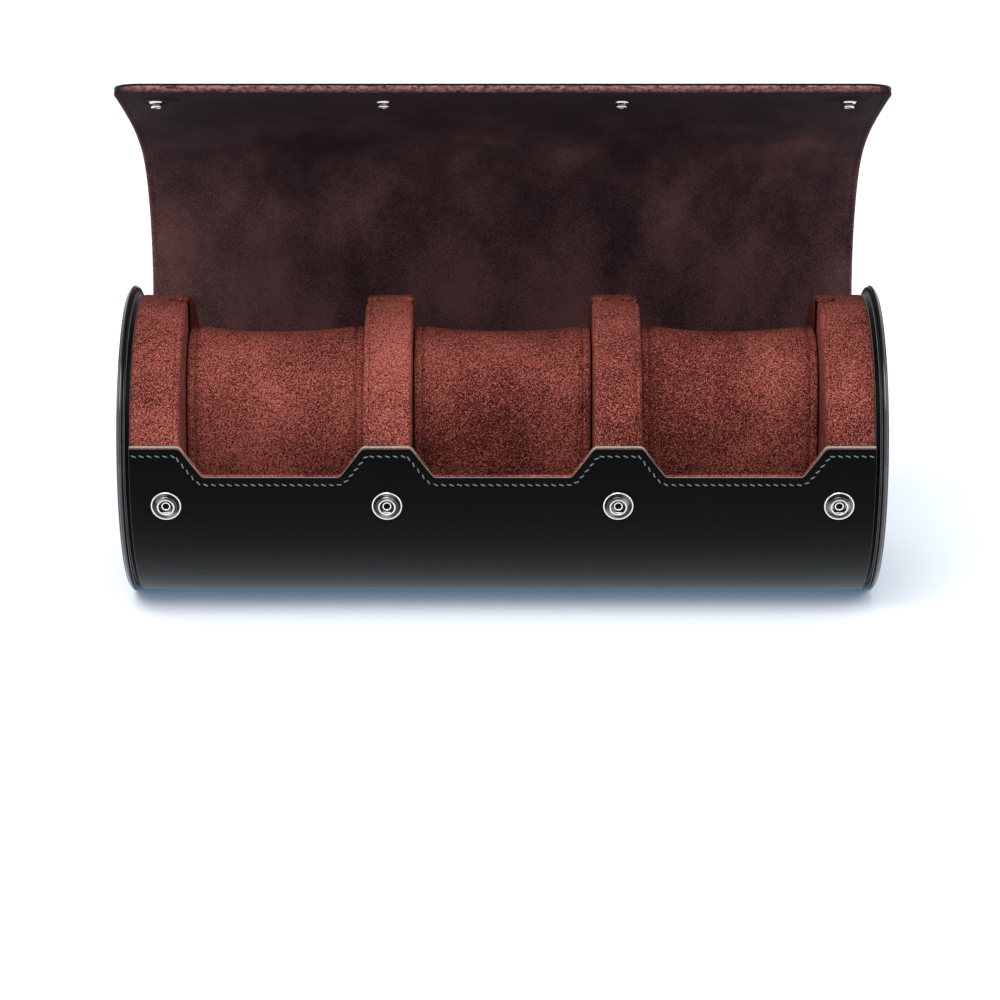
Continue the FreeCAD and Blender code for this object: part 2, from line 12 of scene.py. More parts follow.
import bpy
import numpy as np
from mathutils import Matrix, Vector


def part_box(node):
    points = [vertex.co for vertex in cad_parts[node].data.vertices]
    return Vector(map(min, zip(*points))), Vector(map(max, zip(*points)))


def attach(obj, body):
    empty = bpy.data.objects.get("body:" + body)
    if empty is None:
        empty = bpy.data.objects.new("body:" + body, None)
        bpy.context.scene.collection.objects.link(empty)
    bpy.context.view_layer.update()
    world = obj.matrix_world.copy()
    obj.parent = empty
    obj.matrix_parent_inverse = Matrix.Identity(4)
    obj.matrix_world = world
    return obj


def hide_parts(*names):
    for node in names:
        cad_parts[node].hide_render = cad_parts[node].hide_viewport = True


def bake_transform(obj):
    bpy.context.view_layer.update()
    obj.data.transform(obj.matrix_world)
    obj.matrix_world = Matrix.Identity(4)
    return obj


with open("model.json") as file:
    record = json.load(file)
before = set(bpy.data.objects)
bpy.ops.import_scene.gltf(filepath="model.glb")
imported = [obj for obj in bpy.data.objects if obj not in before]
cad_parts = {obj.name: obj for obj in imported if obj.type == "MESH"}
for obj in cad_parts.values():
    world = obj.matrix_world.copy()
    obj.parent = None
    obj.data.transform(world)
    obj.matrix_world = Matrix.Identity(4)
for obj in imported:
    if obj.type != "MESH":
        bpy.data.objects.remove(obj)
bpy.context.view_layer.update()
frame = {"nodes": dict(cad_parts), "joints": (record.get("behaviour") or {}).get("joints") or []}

# %% [markdown]
# ## Sizes
# The lesson works in millimetres, because leather and thread are measured that way, and helpers turn them
# into metres. The roll lies along X, its front faces -Y, and a "turn" is an angle round the roll: 0 at the
# front, 90 at the top, 180 at the back.

# %% Sizes of the case
MM = 0.001
BODY_RADIUS = 49.0
BASE_HALF = 12.0
AXIS = math.sqrt(BODY_RADIUS**2 - BASE_HALF**2)
WRAP_HALF = 116.0
LEATHER = 1.2
INNER_RADIUS = 46.4
WELLS = {"left": -72.0, "middle": 0.0, "right": 72.0}
WELL_HALF = 28.5
SNAP_PLACES = np.array([-104.8, -36.0, 36.0, 104.8])

# %% [markdown]
# ## From a grid of points to a mesh
# Every shape below is a grid of points: rows one way, columns the other. One helper joins each point to
# its neighbours. Where a section is a closed loop, the last column meets the first, and the two ends are
# zipped shut. A closed shell has a signed volume, so the helper can tell when its faces look inwards.
# A few short names follow for sums that come back in every shape.


# %% Grid to shell
def shell(points, closed=True, ends=True, ring=False):
    """Vertices and quads of a grid (rows, columns, 3): quad (i, j) joins (i, j), (i, j+1), (i+1, j+1) and
    (i+1, j). closed joins the last column to the first, and ring the last row to the first. Otherwise the
    ends are zipped: column k of an end row is joined to column (last - k)."""
    rows, columns = points.shape[:2]
    index = np.arange(rows * columns).reshape(rows, columns)
    if closed:
        index = np.concatenate([index, index[:, :1]], axis=1)
    if ring:
        index = np.concatenate([index, index[:1]])
    quads = np.stack([index[:-1, :-1], index[:-1, 1:], index[1:, 1:], index[1:, :-1]], axis=-1)
    quads = quads.reshape(-1, 4)
    if ends and not ring:
        k = np.arange((columns - 1) // 2)
        for row, order in ((0, 1), (rows - 1, -1)):
            zipped = np.stack([k, columns - 1 - k, columns - 2 - k, k + 1], axis=-1) + row * columns
            quads = np.concatenate([quads, zipped[:, ::order]])
    return points.reshape(-1, 3), quads


def outward(vertices, quads):
    """The same quads, turned round if the shell's signed volume, the sum of a . (b x c) / 6, is negative."""
    a, b, c, d = (vertices[quads[:, i]] for i in range(4))
    volume = sum(np.einsum("ij,ij->i", a, np.cross(p, q)).sum() for p, q in ((b, c), (c, d)))
    return quads if volume > 0 else quads[:, ::-1]


# %% Mesh object from shells
def smooth_object(name, vertices, faces, finish, crease):
    """Object of a mesh in mm, shaded smooth but for edges that bend by more than the crease, in degrees."""
    mesh = bpy.data.meshes.new(name)
    mesh.from_pydata(vertices * MM, [], faces)
    mesh.validate()
    mesh.polygons.foreach_set("use_smooth", np.ones(len(mesh.polygons), bool))
    mesh.set_sharp_from_angle(angle=math.radians(crease))
    mesh.materials.append(finish)
    piece = bpy.data.objects.new(name, mesh)
    bpy.context.scene.collection.objects.link(piece)
    return piece


def make_piece(name, shells, finish, attributes=None, crease=38):
    """One object from several shells of (vertices in mm, quads); attributes hold one number per vertex."""
    vertices = np.concatenate([v for v, _ in shells])
    starts = np.cumsum([0] + [len(v) for v, _ in shells[:-1]])
    quads = np.concatenate([outward(v, q) + start for (v, q), start in zip(shells, starts)])
    piece = smooth_object(name, vertices, quads.tolist(), finish, crease)
    for key, values in (attributes or {}).items():
        numbers = np.asarray(values, np.float32).ravel()
        piece.data.attributes.new(key, "FLOAT", "POINT").data.foreach_set("value", numbers)
    return piece


# %% Short names for what the formulas share
X_AXIS = np.array([1.0, 0, 0])


def grid(*parts):
    """Points whose coordinates are these arrays or numbers, each stretched to the same shape."""
    return np.stack(np.broadcast_arrays(*parts), axis=-1)


def unit(vectors):
    """Each vector over its own length."""
    return vectors / np.linalg.norm(vectors, axis=-1, keepdims=True)


def ramp(rise, reach):
    """rise / reach, held between 0 and 1."""
    return np.clip(rise / reach, 0, 1)


def bell(away, width):
    """exp(-(away / width)^2): 1 in the middle of a seam or groove, dying away on both sides."""
    return np.exp(-((away / width) ** 2))

# %% [markdown]
# ## The camera
# The photograph is taken from straight in front, looking down by about 20 degrees with a long lens. The
# narrowing of the roll's far parts gives the distance, about 1.1 m, and the height of the roll in the
# picture, 62 pixels above the middle, gives the tilt.

# %% Camera
DISTANCE, LOOK_DOWN, FOCAL_PIXELS = 1102.0, 20.0, 3398.0
ASIDE, AXIS_ABOVE_MIDDLE, PICTURE_PIXELS = -0.81, 62, 1000
camera_data = bpy.data.cameras.new("camera")
camera_data.sensor_width = 36.0
camera_data.lens = camera_data.sensor_width * FOCAL_PIXELS / PICTURE_PIXELS
camera = bpy.data.objects.new("camera", camera_data)
bpy.context.scene.collection.objects.link(camera)
down = math.radians(LOOK_DOWN)
camera.location = (ASIDE * MM, -DISTANCE * math.cos(down) * MM, (AXIS + DISTANCE * math.sin(down)) * MM)
tilt = down + math.atan(AXIS_ABOVE_MIDDLE / FOCAL_PIXELS)
camera.rotation_euler = (math.pi / 2 - tilt, 0, 0)
bpy.context.scene.camera = camera
print("lens", round(camera_data.lens, 1), "mm, looking down by", round(math.degrees(tilt), 2), "degrees")

# %% [markdown]
# ## Building a finish
# Each finish is a small tree of nodes round one Principled shader. Patterns read Object coordinates, in
# metres, so their scale is real: a noise scale of 1000 has features about a millimetre across.


# %% Finish builder
class Finish:
    """A node material being built: add() makes a node, set() sets the shader's own sockets."""

    def __init__(self, name, **values):
        self.material = bpy.data.materials.new(name)
        self.material.use_nodes = True
        self.tree = self.material.node_tree
        self.shader = self.tree.nodes["Principled BSDF"]
        self.place = self.add("ShaderNodeTexCoord").outputs["Object"]
        self.set(**values)

    def put(self, socket, value):
        """Join a socket to a socket, or give it a plain value."""
        if isinstance(value, bpy.types.NodeSocket):
            self.tree.links.new(value, socket)
        elif isinstance(value, tuple) and len(value) == 3 and socket.type == "RGBA":
            socket.default_value = (*value, 1)
        else:
            socket.default_value = value

    def set(self, **values):
        """Give the shader's own sockets values or links."""
        for key, value in values.items():
            self.put(self.shader.inputs[key.replace("_", " ")], value)

    def add(self, kind, settings=None, **inputs):
        """A new node with its settings and inputs."""
        node = self.tree.nodes.new(kind)
        for key, value in (settings or {}).items():
            setattr(node, key, value)
        for key, value in inputs.items():
            self.put(node.inputs[key.replace("_", " ")], value)
        return node

    def noise(self, scale, detail, rough):
        """Noise from 0 to 1; a scale for each axis stretches it into fibres."""
        place = self.place
        if isinstance(scale, tuple):
            place, scale = self.add("ShaderNodeMapping", Vector=place, Scale=scale).outputs["Vector"], 1.0
        node = self.add("ShaderNodeTexNoise", Vector=place, Scale=scale, Detail=detail, Roughness=rough)
        return node.outputs["Fac"]

    def span(self, value, low, high, to_low=0.0, to_high=1.0):
        """Carries low..high to to_low..to_high, and holds the ends."""
        ends = {"From_Min": low, "From_Max": high, "To_Min": to_low, "To_Max": to_high}
        return self.add("ShaderNodeMapRange", Value=value, **ends).outputs["Result"]

    def blend(self, share, first, second):
        """Colour that goes from first to second as share goes from 0 to 1."""
        node = self.add("ShaderNodeMix", {"data_type": "RGBA"})
        for slot, value in ((0, share), (6, first), (7, second)):
            self.put(node.inputs[slot], value)
        return node.outputs[2]

    def sum(self, a, b, share=1.0):
        """a + b * share"""
        node = self.add("ShaderNodeMath", {"operation": "MULTIPLY_ADD"})
        for slot, value in enumerate((b, share, a)):
            self.put(node.inputs[slot], value)
        return node.outputs[0]

    def number(self, name):
        """A number stored on the mesh's vertices."""
        return self.add("ShaderNodeAttribute", {"attribute_name": name}).outputs["Fac"]

    def bump(self, height, depth, strength=1.0, under=None):
        """Raises the surface by height times depth, in metres."""
        node = self.add("ShaderNodeBump", Height=height, Distance=depth, Strength=strength)
        if under is not None:
            self.put(node.inputs["Normal"], under)
        return node.outputs["Normal"]


# %% [markdown]
# ## Floor and light
# A white sweep and one big soft lamp above the front give the photograph its even look. The world fills
# the shadows from all sides with a slightly cool white. The paper looks a little brighter and bluer to the
# camera, and in the metal, than its own colour: that takes it to white, and turns the shadow under the roll
# blue, as in the photograph. Two narrow lamps at the sides draw a line of light on each glossy edge.

# %% Floor
PAPER_GLOW = (0.05, 0.10, 0.17)
PAPER_HALF = 6000.0
span = np.array([[[x, y, 0.0] for x in (-PAPER_HALF, PAPER_HALF)] for y in (-PAPER_HALF, PAPER_HALF)])
paper = Finish("white_paper", Base_Color=(0.93, 0.92, 0.91), Roughness=0.9, Specular_IOR_Level=0.0)
rays = paper.add("ShaderNodeLightPath").outputs
seen = 0.0
for kind in ("Is Camera Ray", "Is Glossy Ray", "Is Transmission Ray"):
    seen = paper.sum(seen, rays[kind])
glow = paper.add("ShaderNodeEmission", Color=PAPER_GLOW, Strength=seen)
both = paper.add("ShaderNodeAddShader")
for slot, shader in enumerate((paper.shader, glow)):
    paper.put(both.inputs[slot], shader.outputs[0])
paper.put(paper.tree.nodes["Material Output"].inputs["Surface"], both.outputs[0])
floor = make_piece("floor", [shell(span, closed=False, ends=False)], paper.material)
print("paper", 2 * PAPER_HALF * MM, "m wide")

# %% Lamps and world
AIM = (0, 0, 0.06)


def soft_lamp(name, place, width, height, power):
    """Area lamp at a place in metres, its face turned to the aim point."""
    data = bpy.data.lights.new(name, "AREA")
    data.shape, data.size, data.size_y, data.energy = "RECTANGLE", width, height, power
    lamp = bpy.data.objects.new(name, data)
    bpy.context.scene.collection.objects.link(lamp)
    lamp.location = place
    lamp.rotation_euler = (Vector(AIM) - Vector(place)).to_track_quat("-Z", "Y").to_euler()


soft_lamp("key", (-0.35, -0.9, 1.5), 1.4, 0.9, 23.0)
soft_lamp("fill", (1.3, -0.4, 0.9), 0.8, 0.8, 2.2)
soft_lamp("left strip", (-1.3, -0.55, 0.22), 0.12, 0.5, 1.2)
soft_lamp("right strip", (1.3, -0.55, 0.22), 0.12, 0.5, 1.2)
world = bpy.data.worlds.new("studio")
bpy.context.scene.world = world
world.use_nodes = True
sky = world.node_tree
ground, white = sky.nodes["Background"], sky.nodes.new("ShaderNodeBackground")
ground.inputs["Color"].default_value = (0.93, 0.965, 1.0, 1)
ground.inputs["Strength"].default_value = 0.85
rays = sky.nodes.new("ShaderNodeLightPath")
pick = sky.nodes.new("ShaderNodeMixShader")
for slot, output in enumerate((rays.outputs["Is Camera Ray"], ground.outputs[0], white.outputs[0])):
    sky.links.new(output, pick.inputs[slot])
sky.links.new(pick.outputs[0], sky.nodes["World Output"].inputs["Surface"])
bpy.context.scene.view_settings.view_transform = "Standard"
print("lamps", len(bpy.data.lights))

# %% [markdown]
# ## Black leather
# Corrected-grain cowhide: nearly black, with a satin bloom that shows at a low angle, fine pores and
# low pebbles half a millimetre across. Where it is cut, the raw edge shows the pale hide.


# %% Leather finish
def leather(name):
    """Dark leather: pebbles from Voronoi cells, pores from noise; the attribute raw bares the cut edge."""
    finish = Finish(name, IOR=1.10, Sheen_Weight=0.46, Sheen_Roughness=0.37, Sheen_Tint=(0.90, 0.96, 1.0))
    cells = finish.add("ShaderNodeTexVoronoi", {"feature": "SMOOTH_F1"}, Vector=finish.place, Scale=1500.0)
    pebbles = cells.outputs["Distance"]
    pores = finish.noise(4200.0, 3.0, 0.6)
    clouds = finish.noise(28.0, 4.0, 0.55)
    dark = finish.blend(finish.span(clouds, 0.35, 0.7), (0.0006, 0.0007, 0.0007), (0.0012, 0.0013, 0.0013))
    wear_and_painted_light = finish.blend(finish.span(pebbles, 0.05, 0.45), (0.0021, 0.0022, 0.0023), dark)
    hide = finish.blend(finish.span(pores, 0.3, 0.7), (0.26, 0.235, 0.20), (0.46, 0.42, 0.37))
    raw = finish.number("raw")
    rough = finish.sum(finish.span(clouds, 0.3, 0.75, 0.34, 0.46), raw, 0.3)
    grain = finish.bump(pebbles, 0.00005, 0.55)
    finish.set(Base_Color=finish.blend(raw, wear_and_painted_light, hide), Roughness=rough,
               Normal=finish.bump(pores, 0.00003, 0.5, grain))
    return finish.material


BLACK_LEATHER = leather("black_leather_finish")

# %% [markdown]
# ## Suede
# Suede is the brushed flesh side of the hide: short fibres lie in strokes, so it is speckled from light
# to dark at half a millimetre, clouded where a hand has stroked it, and brighter at a low angle. The wells
# are brick red. The flap's lining is the same hide, given a darker plum brown: partly its pile, stroked the
# other way, and partly painted shade. The attribute nap paints it darker towards the tip,
# and the roll of suede at the tip keeps the brick red, painted lighter as if lit from above.


# %% Suede finishes
def middle_of(one, other):
    """The colour halfway between two."""
    return tuple((a + b) / 2 for a, b in zip(one, other))


def suede(name, deep, middle, pale, strokes_scale=(22.0, 22.0, 22.0), speckle=1.0, sheen=0.04, rim=None,
          clouds=0.26):
    """Brushed hide: two stretched noises for the fibres, one cloud noise for the strokes, and sheen. Where
    rim is given, it is the suede's own colour at the flap's tip, painted lighter there as if lit from above, and
    the attributes rim and nap are read; the second is painted shade that darkens the lining
    towards the tip."""
    finish = Finish(name, Roughness=0.92, Specular_IOR_Level=0.10, Sheen_Weight=sheen, Sheen_Roughness=0.45,
                    Sheen_Tint=pale)
    fibres = finish.noise((3300.0, 2300.0, 2300.0), 2.0, 0.65)
    strands = finish.noise((1600.0, 2500.0, 2100.0), 3.0, 0.7)
    strokes = finish.noise(strokes_scale, 4.0, 0.6)
    fuzz = finish.sum(finish.span(fibres, 0.36, 0.66, 0.0, 0.58), finish.span(strands, 0.36, 0.66, 0.0, 0.42))
    shade = finish.sum(finish.span(strokes, 0.30, 0.72, -clouds, clouds), fuzz, speckle)
    if rim is not None:
        # painted shade: darker towards the flap's tip, lighter near the hinge
        shade = finish.sum(shade, finish.span(finish.number("nap"), 0.0, 1.0, -0.36, 0.50))
    dark = finish.blend(finish.span(shade, 0.16, 0.66), deep, middle)
    colour = finish.blend(finish.span(shade, 0.60, 1.08), dark, pale)
    if rim is not None:
        # painted highlight: the roll at the flap's tip in the suede's own brick red, painted lighter as if lit
        # from above
        tufts = finish.noise((620.0, 1100.0, 1100.0), 3.0, 0.7)
        wear_and_painted_light = finish.blend(finish.span(tufts, 0.36, 0.62), middle_of(deep, middle), rim)
        colour = finish.blend(finish.number("rim"), colour, wear_and_painted_light)
    nap = finish.bump(fuzz, 0.00016, 0.75)
    finish.set(Base_Color=colour, Normal=finish.bump(strokes, 0.0006, 0.25, nap))
    return finish.material


WELL_SUEDE = suede("brick_suede_finish", (0.018, 0.0031, 0.0026), (0.096, 0.0162, 0.0126),
                   (0.45, 0.124, 0.093), speckle=1.5)
# The lining's plum brown is partly its own pile, stroked the other way, and partly painted shade: the wells'
# suede made darker where less light falls on the flap. rim is the suede's own brick red, brighter than lit
# suede, a painted highlight on the tip's roll.
FLAP_SUEDE = suede("plum_suede_finish", (0.011, 0.0055, 0.0066), (0.045, 0.0215, 0.0235),
                   (0.135, 0.060, 0.060), (38.0, 24.0, 24.0), speckle=0.80, sheen=0.015,
                   rim=(0.40, 0.175, 0.155), clouds=0.34)

# %% [markdown]
# ## Metal, thread and what is hidden
# The snaps are nickel plated: bright and slightly warm on every rim. Their hollows and the stud's flange are
# painted nearly black, as painted shade and painted dark reflection, which the attribute hollow marks; that
# paint is weaker in two places round each part, as a painted reflection of the bright front. The thread is
# grey on the front edge and black elsewhere. The board, foam and springs are hardly seen, but they get a
# finish too.


# %% Nickel, piping, thread, board and foam
def plated(name, colour, rough):
    """Plated metal with faint polishing marks, painted nearly black as shade and dark reflection where the
    attribute hollow marks.
    """
    finish = Finish(name, Metallic=1.0)
    marks = finish.noise((900.0, 2400.0, 900.0), 3.0, 0.6)
    # painted shade and dark reflection: nearly black where the attribute hollow marks
    painted_dark = tuple(0.03 * c for c in colour)
    finish.set(Base_Color=finish.blend(finish.number("hollow"), colour, painted_dark),
               Roughness=finish.span(marks, 0.3, 0.7, rough - 0.04, rough + 0.05),
               Normal=finish.bump(marks, 0.00001, 0.3))
    return finish.material


def fibrous(name, deep, pale, scale, rough=0.85):
    """Thread, board or foam: a mottled matte colour with a fibrous bump."""
    finish = Finish(name, Roughness=rough, Specular_IOR_Level=0.2)
    fibres = finish.noise(scale, 3.0, 0.65)
    finish.set(Base_Color=finish.blend(finish.span(fibres, 0.3, 0.7), deep, pale),
               Normal=finish.bump(fibres, 0.00008, 0.6))
    return finish.material


def glossy_bead(name):
    """Patent piping: a hard glossy coat with slow waves."""
    finish = Finish(name, Roughness=0.16, Specular_IOR_Level=0.5, Coat_Weight=0.6, Coat_Roughness=0.08)
    waves = finish.noise(260.0, 2.0, 0.5)
    finish.set(Base_Color=finish.blend(waves, (0.006, 0.006, 0.007), (0.014, 0.014, 0.015)),
               Normal=finish.bump(waves, 0.0002, 0.4))
    return finish.material


NICKEL = plated("nickel_finish", (0.80, 0.79, 0.76), 0.14)
SATIN_NICKEL = plated("satin_nickel_finish", (0.74, 0.73, 0.70), 0.27)
SPRING_WIRE = plated("spring_wire_finish", (0.60, 0.60, 0.60), 0.3)
PIPING = glossy_bead("piping_finish")
GREY_THREAD = fibrous("grey_thread_finish", (0.07, 0.07, 0.07), (0.23, 0.23, 0.225), 3500.0)
BLACK_THREAD = fibrous("black_thread_finish", (0.004, 0.004, 0.004), (0.016, 0.016, 0.017), 3500.0, 0.6)
BOARD = fibrous("grey_board_finish", (0.30, 0.27, 0.22), (0.46, 0.42, 0.35), 900.0)
FOAM = fibrous("cream_foam_finish", (0.60, 0.57, 0.50), (0.78, 0.75, 0.68), 1600.0)

# %% Finishes for the CAD parts that stay
KINDS = (("board", BOARD), ("core", FOAM), ("springs", SPRING_WIRE), ("rivets", SATIN_NICKEL),
         ("caps", SATIN_NICKEL), ("sockets", NICKEL), ("studs", NICKEL), ("piping", PIPING),
         ("suede", FLAP_SUEDE), ("spine_lining", FLAP_SUEDE), ("well_lining", WELL_SUEDE),
         ("partition", WELL_SUEDE), ("divider", WELL_SUEDE), ("cushion", WELL_SUEDE))
for node_name, node in frame["nodes"].items():
    finish = next((finish for word, finish in KINDS if word in node_name), BLACK_LEATHER)
    node.data.materials.clear()
    node.data.materials.append(finish)
print("finishes", len(bpy.data.materials))

# %% [markdown]
# ## Curves that the shapes share
# A few small tools come up again and again: a corner rounded off a polyline, a closed outline softened and
# evenly spaced, the direction that points out of an outline, and a place on the roll at a radius and a turn.


# %% Curve tools
def round_corners(points, radius, steps=7):
    """Polyline with each inner corner replaced by a quadratic curve that starts and ends radius * tan(half
    the bend) away from it and has the corner as its control point."""
    result = [points[0]]
    for before, corner, after in zip(points[:-2], points[1:-1], points[2:]):
        a, b = unit(before - corner), unit(after - corner)
        reach = radius * math.tan((math.pi - math.acos(np.clip(a @ b, -1, 1))) / 2)
        t = np.linspace(0, 1, steps)[:, None]
        start, end = corner + a * reach, corner + b * reach
        result.extend((1 - t) ** 2 * start + 2 * t * (1 - t) * corner + t**2 * end)
    result.append(points[-1])
    return np.array(result)


def evenly(points, spacing, closed=False):
    """Points along a polyline, evenly spaced by arc length."""
    if closed:
        points = np.concatenate([points, points[:1]])
    length = np.concatenate([[0], np.cumsum(np.linalg.norm(np.diff(points, axis=0), axis=1))])
    count = max(3, int(round(length[-1] / spacing)))
    at = np.linspace(0, length[-1], count + 1)
    if closed:
        at = at[:-1]
    return np.stack([np.interp(at, length, points[:, k]) for k in range(points.shape[1])], axis=1)


def soften(outline, spacing, reach):
    """Closed outline, evenly spaced, then averaged with its neighbours so that its corners turn round."""
    outline = evenly(outline, spacing, closed=True)
    half = max(1, int(round(reach / spacing)))
    return sum(np.roll(outline, k, axis=0) for k in range(-half, half + 1)) / (2 * half + 1)


def outline_normals(outline):
    """Unit normals of a closed plane outline: its tangent, from both neighbours, turned by a right angle."""
    tangent = unit(np.roll(outline, -1, axis=0) - np.roll(outline, 1, axis=0))
    normal = grid(tangent[:, 1], -tangent[:, 0])
    x, y = outline.T
    area = (x * np.roll(y, -1) - y * np.roll(x, -1)).sum()
    return normal if area > 0 else -normal


def heading_of(path):
    """Unit direction of an open path at each of its points, from its neighbours."""
    return unit(np.gradient(path, axis=0))


FOOT_SOFTNESS = 0.06


def above(floor_height, z):
    """z pressed up to a floor: h + (d + sqrt(d^2 + softness)) / 2, where d = z - h, so the bend is soft."""
    d = z - floor_height
    return floor_height + (d + np.sqrt(d**2 + FOOT_SOFTNESS)) / 2


def around(radius, turn):
    """Points (y, z) at a radius from the roll axis and a turn in degrees, resting on the flat foot."""
    a = np.radians(turn)
    return -radius * np.cos(a), above(BODY_RADIUS - radius, AXIS + radius * np.sin(a))


# %% [markdown]
# ## The wrap
# One piece of leather goes from the hinge, down the back, under the foot and up the front, where its edge
# rises over the dividers and dips at each well. Its section is a closed loop: outer face, rounded cut edge,
# inner face. The loop's end moves up and down with the edge, so it is a function of x and of the distance
# from the edge. A sewn line 2.4 mm below the edge pulls a shallow groove into the leather.


# %% Front edge of the wrap
EDGE_HIGH, EDGE_LOW, SLOPE = 13.5, 4.6, 7.2
HINGE_TURN, HINGE_RADIUS = 160.0, 48.9
WRAP_END_TURN = HINGE_TURN + math.degrees(math.acos((BODY_RADIUS - LEATHER / 2) / HINGE_RADIUS))
corners = [(-WRAP_HALF, EDGE_HIGH)]
for middle in WELLS.values():
    corners += [(middle - WELL_HALF, EDGE_HIGH), (middle - WELL_HALF + SLOPE, EDGE_LOW)]
    corners += [(middle + WELL_HALF - SLOPE, EDGE_LOW), (middle + WELL_HALF, EDGE_HIGH)]
corners.append((WRAP_HALF, EDGE_HIGH))
EDGE_LINE = round_corners(np.array(corners), 2.0)


def edge_turn(x):
    """Turn of the front edge at x: arcsin of its height over the radius, in degrees."""
    return np.degrees(np.arcsin(np.interp(x, EDGE_LINE[:, 0], EDGE_LINE[:, 1]) / BODY_RADIUS))


def unrolled(line):
    """The edge line laid flat: (x, arc length round the body)."""
    return grid(line[:, 0], BODY_RADIUS * np.arcsin(line[:, 1] / BODY_RADIUS))


EDGE_STEP = 0.5
FLAT_EDGE = evenly(unrolled(EDGE_LINE), EDGE_STEP)
print("front edge is", round(len(FLAT_EDGE) * EDGE_STEP), "mm long when laid flat")


# %% Wrap leather
SIDE_ROUND, SEWN_BELOW = 0.45, 2.4


def edge_section(thickness, rounding, reach, fine=0.4):
    """Depth and distance from the edge: along the outer face, over the rounded edge, down the inner face."""
    down_face = np.arange(reach, rounding, -fine)
    bend = np.linspace(0, math.pi / 2, 5)
    first = rounding - rounding * grid(np.cos(bend), np.sin(bend))
    second = grid(thickness - first[::-1, 0], first[::-1, 1])
    return np.concatenate([grid(0, down_face), first, second, grid(thickness, down_face[::-1])])


def round_the_tube(x, section, start, count):
    """Distance from the front edge, depth and turn of a sheet at each x: from the hinge round the outer
    face to start mm from the edge, over the edge's section, and back along the inner face."""
    total = np.radians(edge_turn(x) + 360 - WRAP_END_TURN) * BODY_RADIUS
    far = start + (total - start) * np.linspace(1, 0, count, endpoint=False)
    over = np.broadcast_to(section[:, 1], (len(x), len(section)))
    distance = np.concatenate([far, over, far[:, ::-1]], axis=1)
    depth = np.concatenate([np.zeros(count), section[:, 0], np.full(count, section[-1, 0])])
    return distance, np.broadcast_to(depth, distance.shape), edge_turn(x) - np.degrees(distance / BODY_RADIUS)


round_x = WRAP_HALF - SIDE_ROUND * (1 - np.sin(np.linspace(0, math.pi / 2, 6)))
even_x = np.arange(-WRAP_HALF, WRAP_HALF + 1, 2.0)
columns_x = np.unique(np.concatenate([EDGE_LINE[:, 0], even_x, round_x, -round_x]))
x = columns_x[:, None]
distance, depth, turn = round_the_tube(x, edge_section(LEATHER, 0.32, 8.0), 8.4, 90)
flat = grid(x, BODY_RADIUS * np.radians(turn))
outside = depth < LEATHER / 2
near_edge = outside & (distance < 12)
to_edge = np.full(turn.shape, 50.0)
to_edge[near_edge] = np.linalg.norm(flat[near_edge][:, None] - FLAT_EDGE[None], axis=2).min(axis=1)
groove = 0.16 * bell(to_edge - SEWN_BELOW, 0.55)
hand = 0.05 * np.sin(flat[..., 0] / 17 + 1) * np.sin(flat[..., 1] / 11 + 2) * outside
past = np.clip(np.abs(flat[..., 0]) - (WRAP_HALF - SIDE_ROUND), 0, SIDE_ROUND)
rolled = (SIDE_ROUND - np.sqrt(SIDE_ROUND**2 - past**2)) * outside
y, z = around(BODY_RADIUS - depth - groove - hand.clip(0) - rolled, turn)
raw = ramp(0.40 - distance, 0.1) * ramp(depth - 0.16, 0.1) * ramp(0.62 - depth, 0.1)
wrap = make_piece("wrap_leather", [shell(grid(x, y, z))], BLACK_LEATHER, {"raw": raw})
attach(wrap, "case")
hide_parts("outer_wrap")
print("wrap leather", len(wrap.data.polygons), "faces")

# %% [markdown]
# ## Stitches
# A stitch is a short twist of thread that dives into a hole at each end. One little closed shell of six
# by seven points is repeated along a line, each copy turned to the line and leaned a little, as a sewing
# machine leaves it.


# %% Stitch maker
FRONT_PITCH, FRONT_STITCH = 2.45, (1.95, 0.21)
FLAP_PITCH, FLAP_STITCH = 3.2, (2.55, 0.27)
END_PITCH_DEGREES, END_STITCH = 3.9, (2.5, 0.26)
THREAD_SUNK = 0.12


def stitch_row(place, along, out, length, radius, lean=8.0):
    """Shells of one row: for each stitch, the point place + along * a + across * b + out * c.
    a runs from -1/2 to 1/2 of the length, the radius swells as sqrt(1 - (2a)^4), and the ends dip."""
    across = np.cross(out, along)
    a = math.radians(lean)
    along, across = along * math.cos(a) + across * math.sin(a), across * math.cos(a) - along * math.sin(a)
    station = np.linspace(-0.5, 0.5, 7)[:, None]
    swell = radius * np.sqrt(np.clip(1 - (2 * station) ** 4, 0.02, 1))
    ring = np.linspace(0, 2 * math.pi, 6, endpoint=False)
    c = swell * np.sin(ring) * 0.8 + radius * (0.45 - 1.6 * (2 * station) ** 4)
    local, quads = shell(grid(station * length, swell * np.cos(ring), c))
    base = np.stack([along, across, out], axis=1)
    points = place[:, None, :] + np.einsum("vk,skd->svd", local, base)
    return [(p, quads) for p in points]


def joined(shells):
    """Many copies of one shell as a single array of vertices and quads, each copy turned outwards alike."""
    vertices, quads = shells[0]
    quads = outward(vertices, quads)
    steps = np.arange(len(shells))[:, None, None] * len(vertices)
    return np.concatenate([v for v, _ in shells]), (quads[None] + steps).reshape(-1, 4)


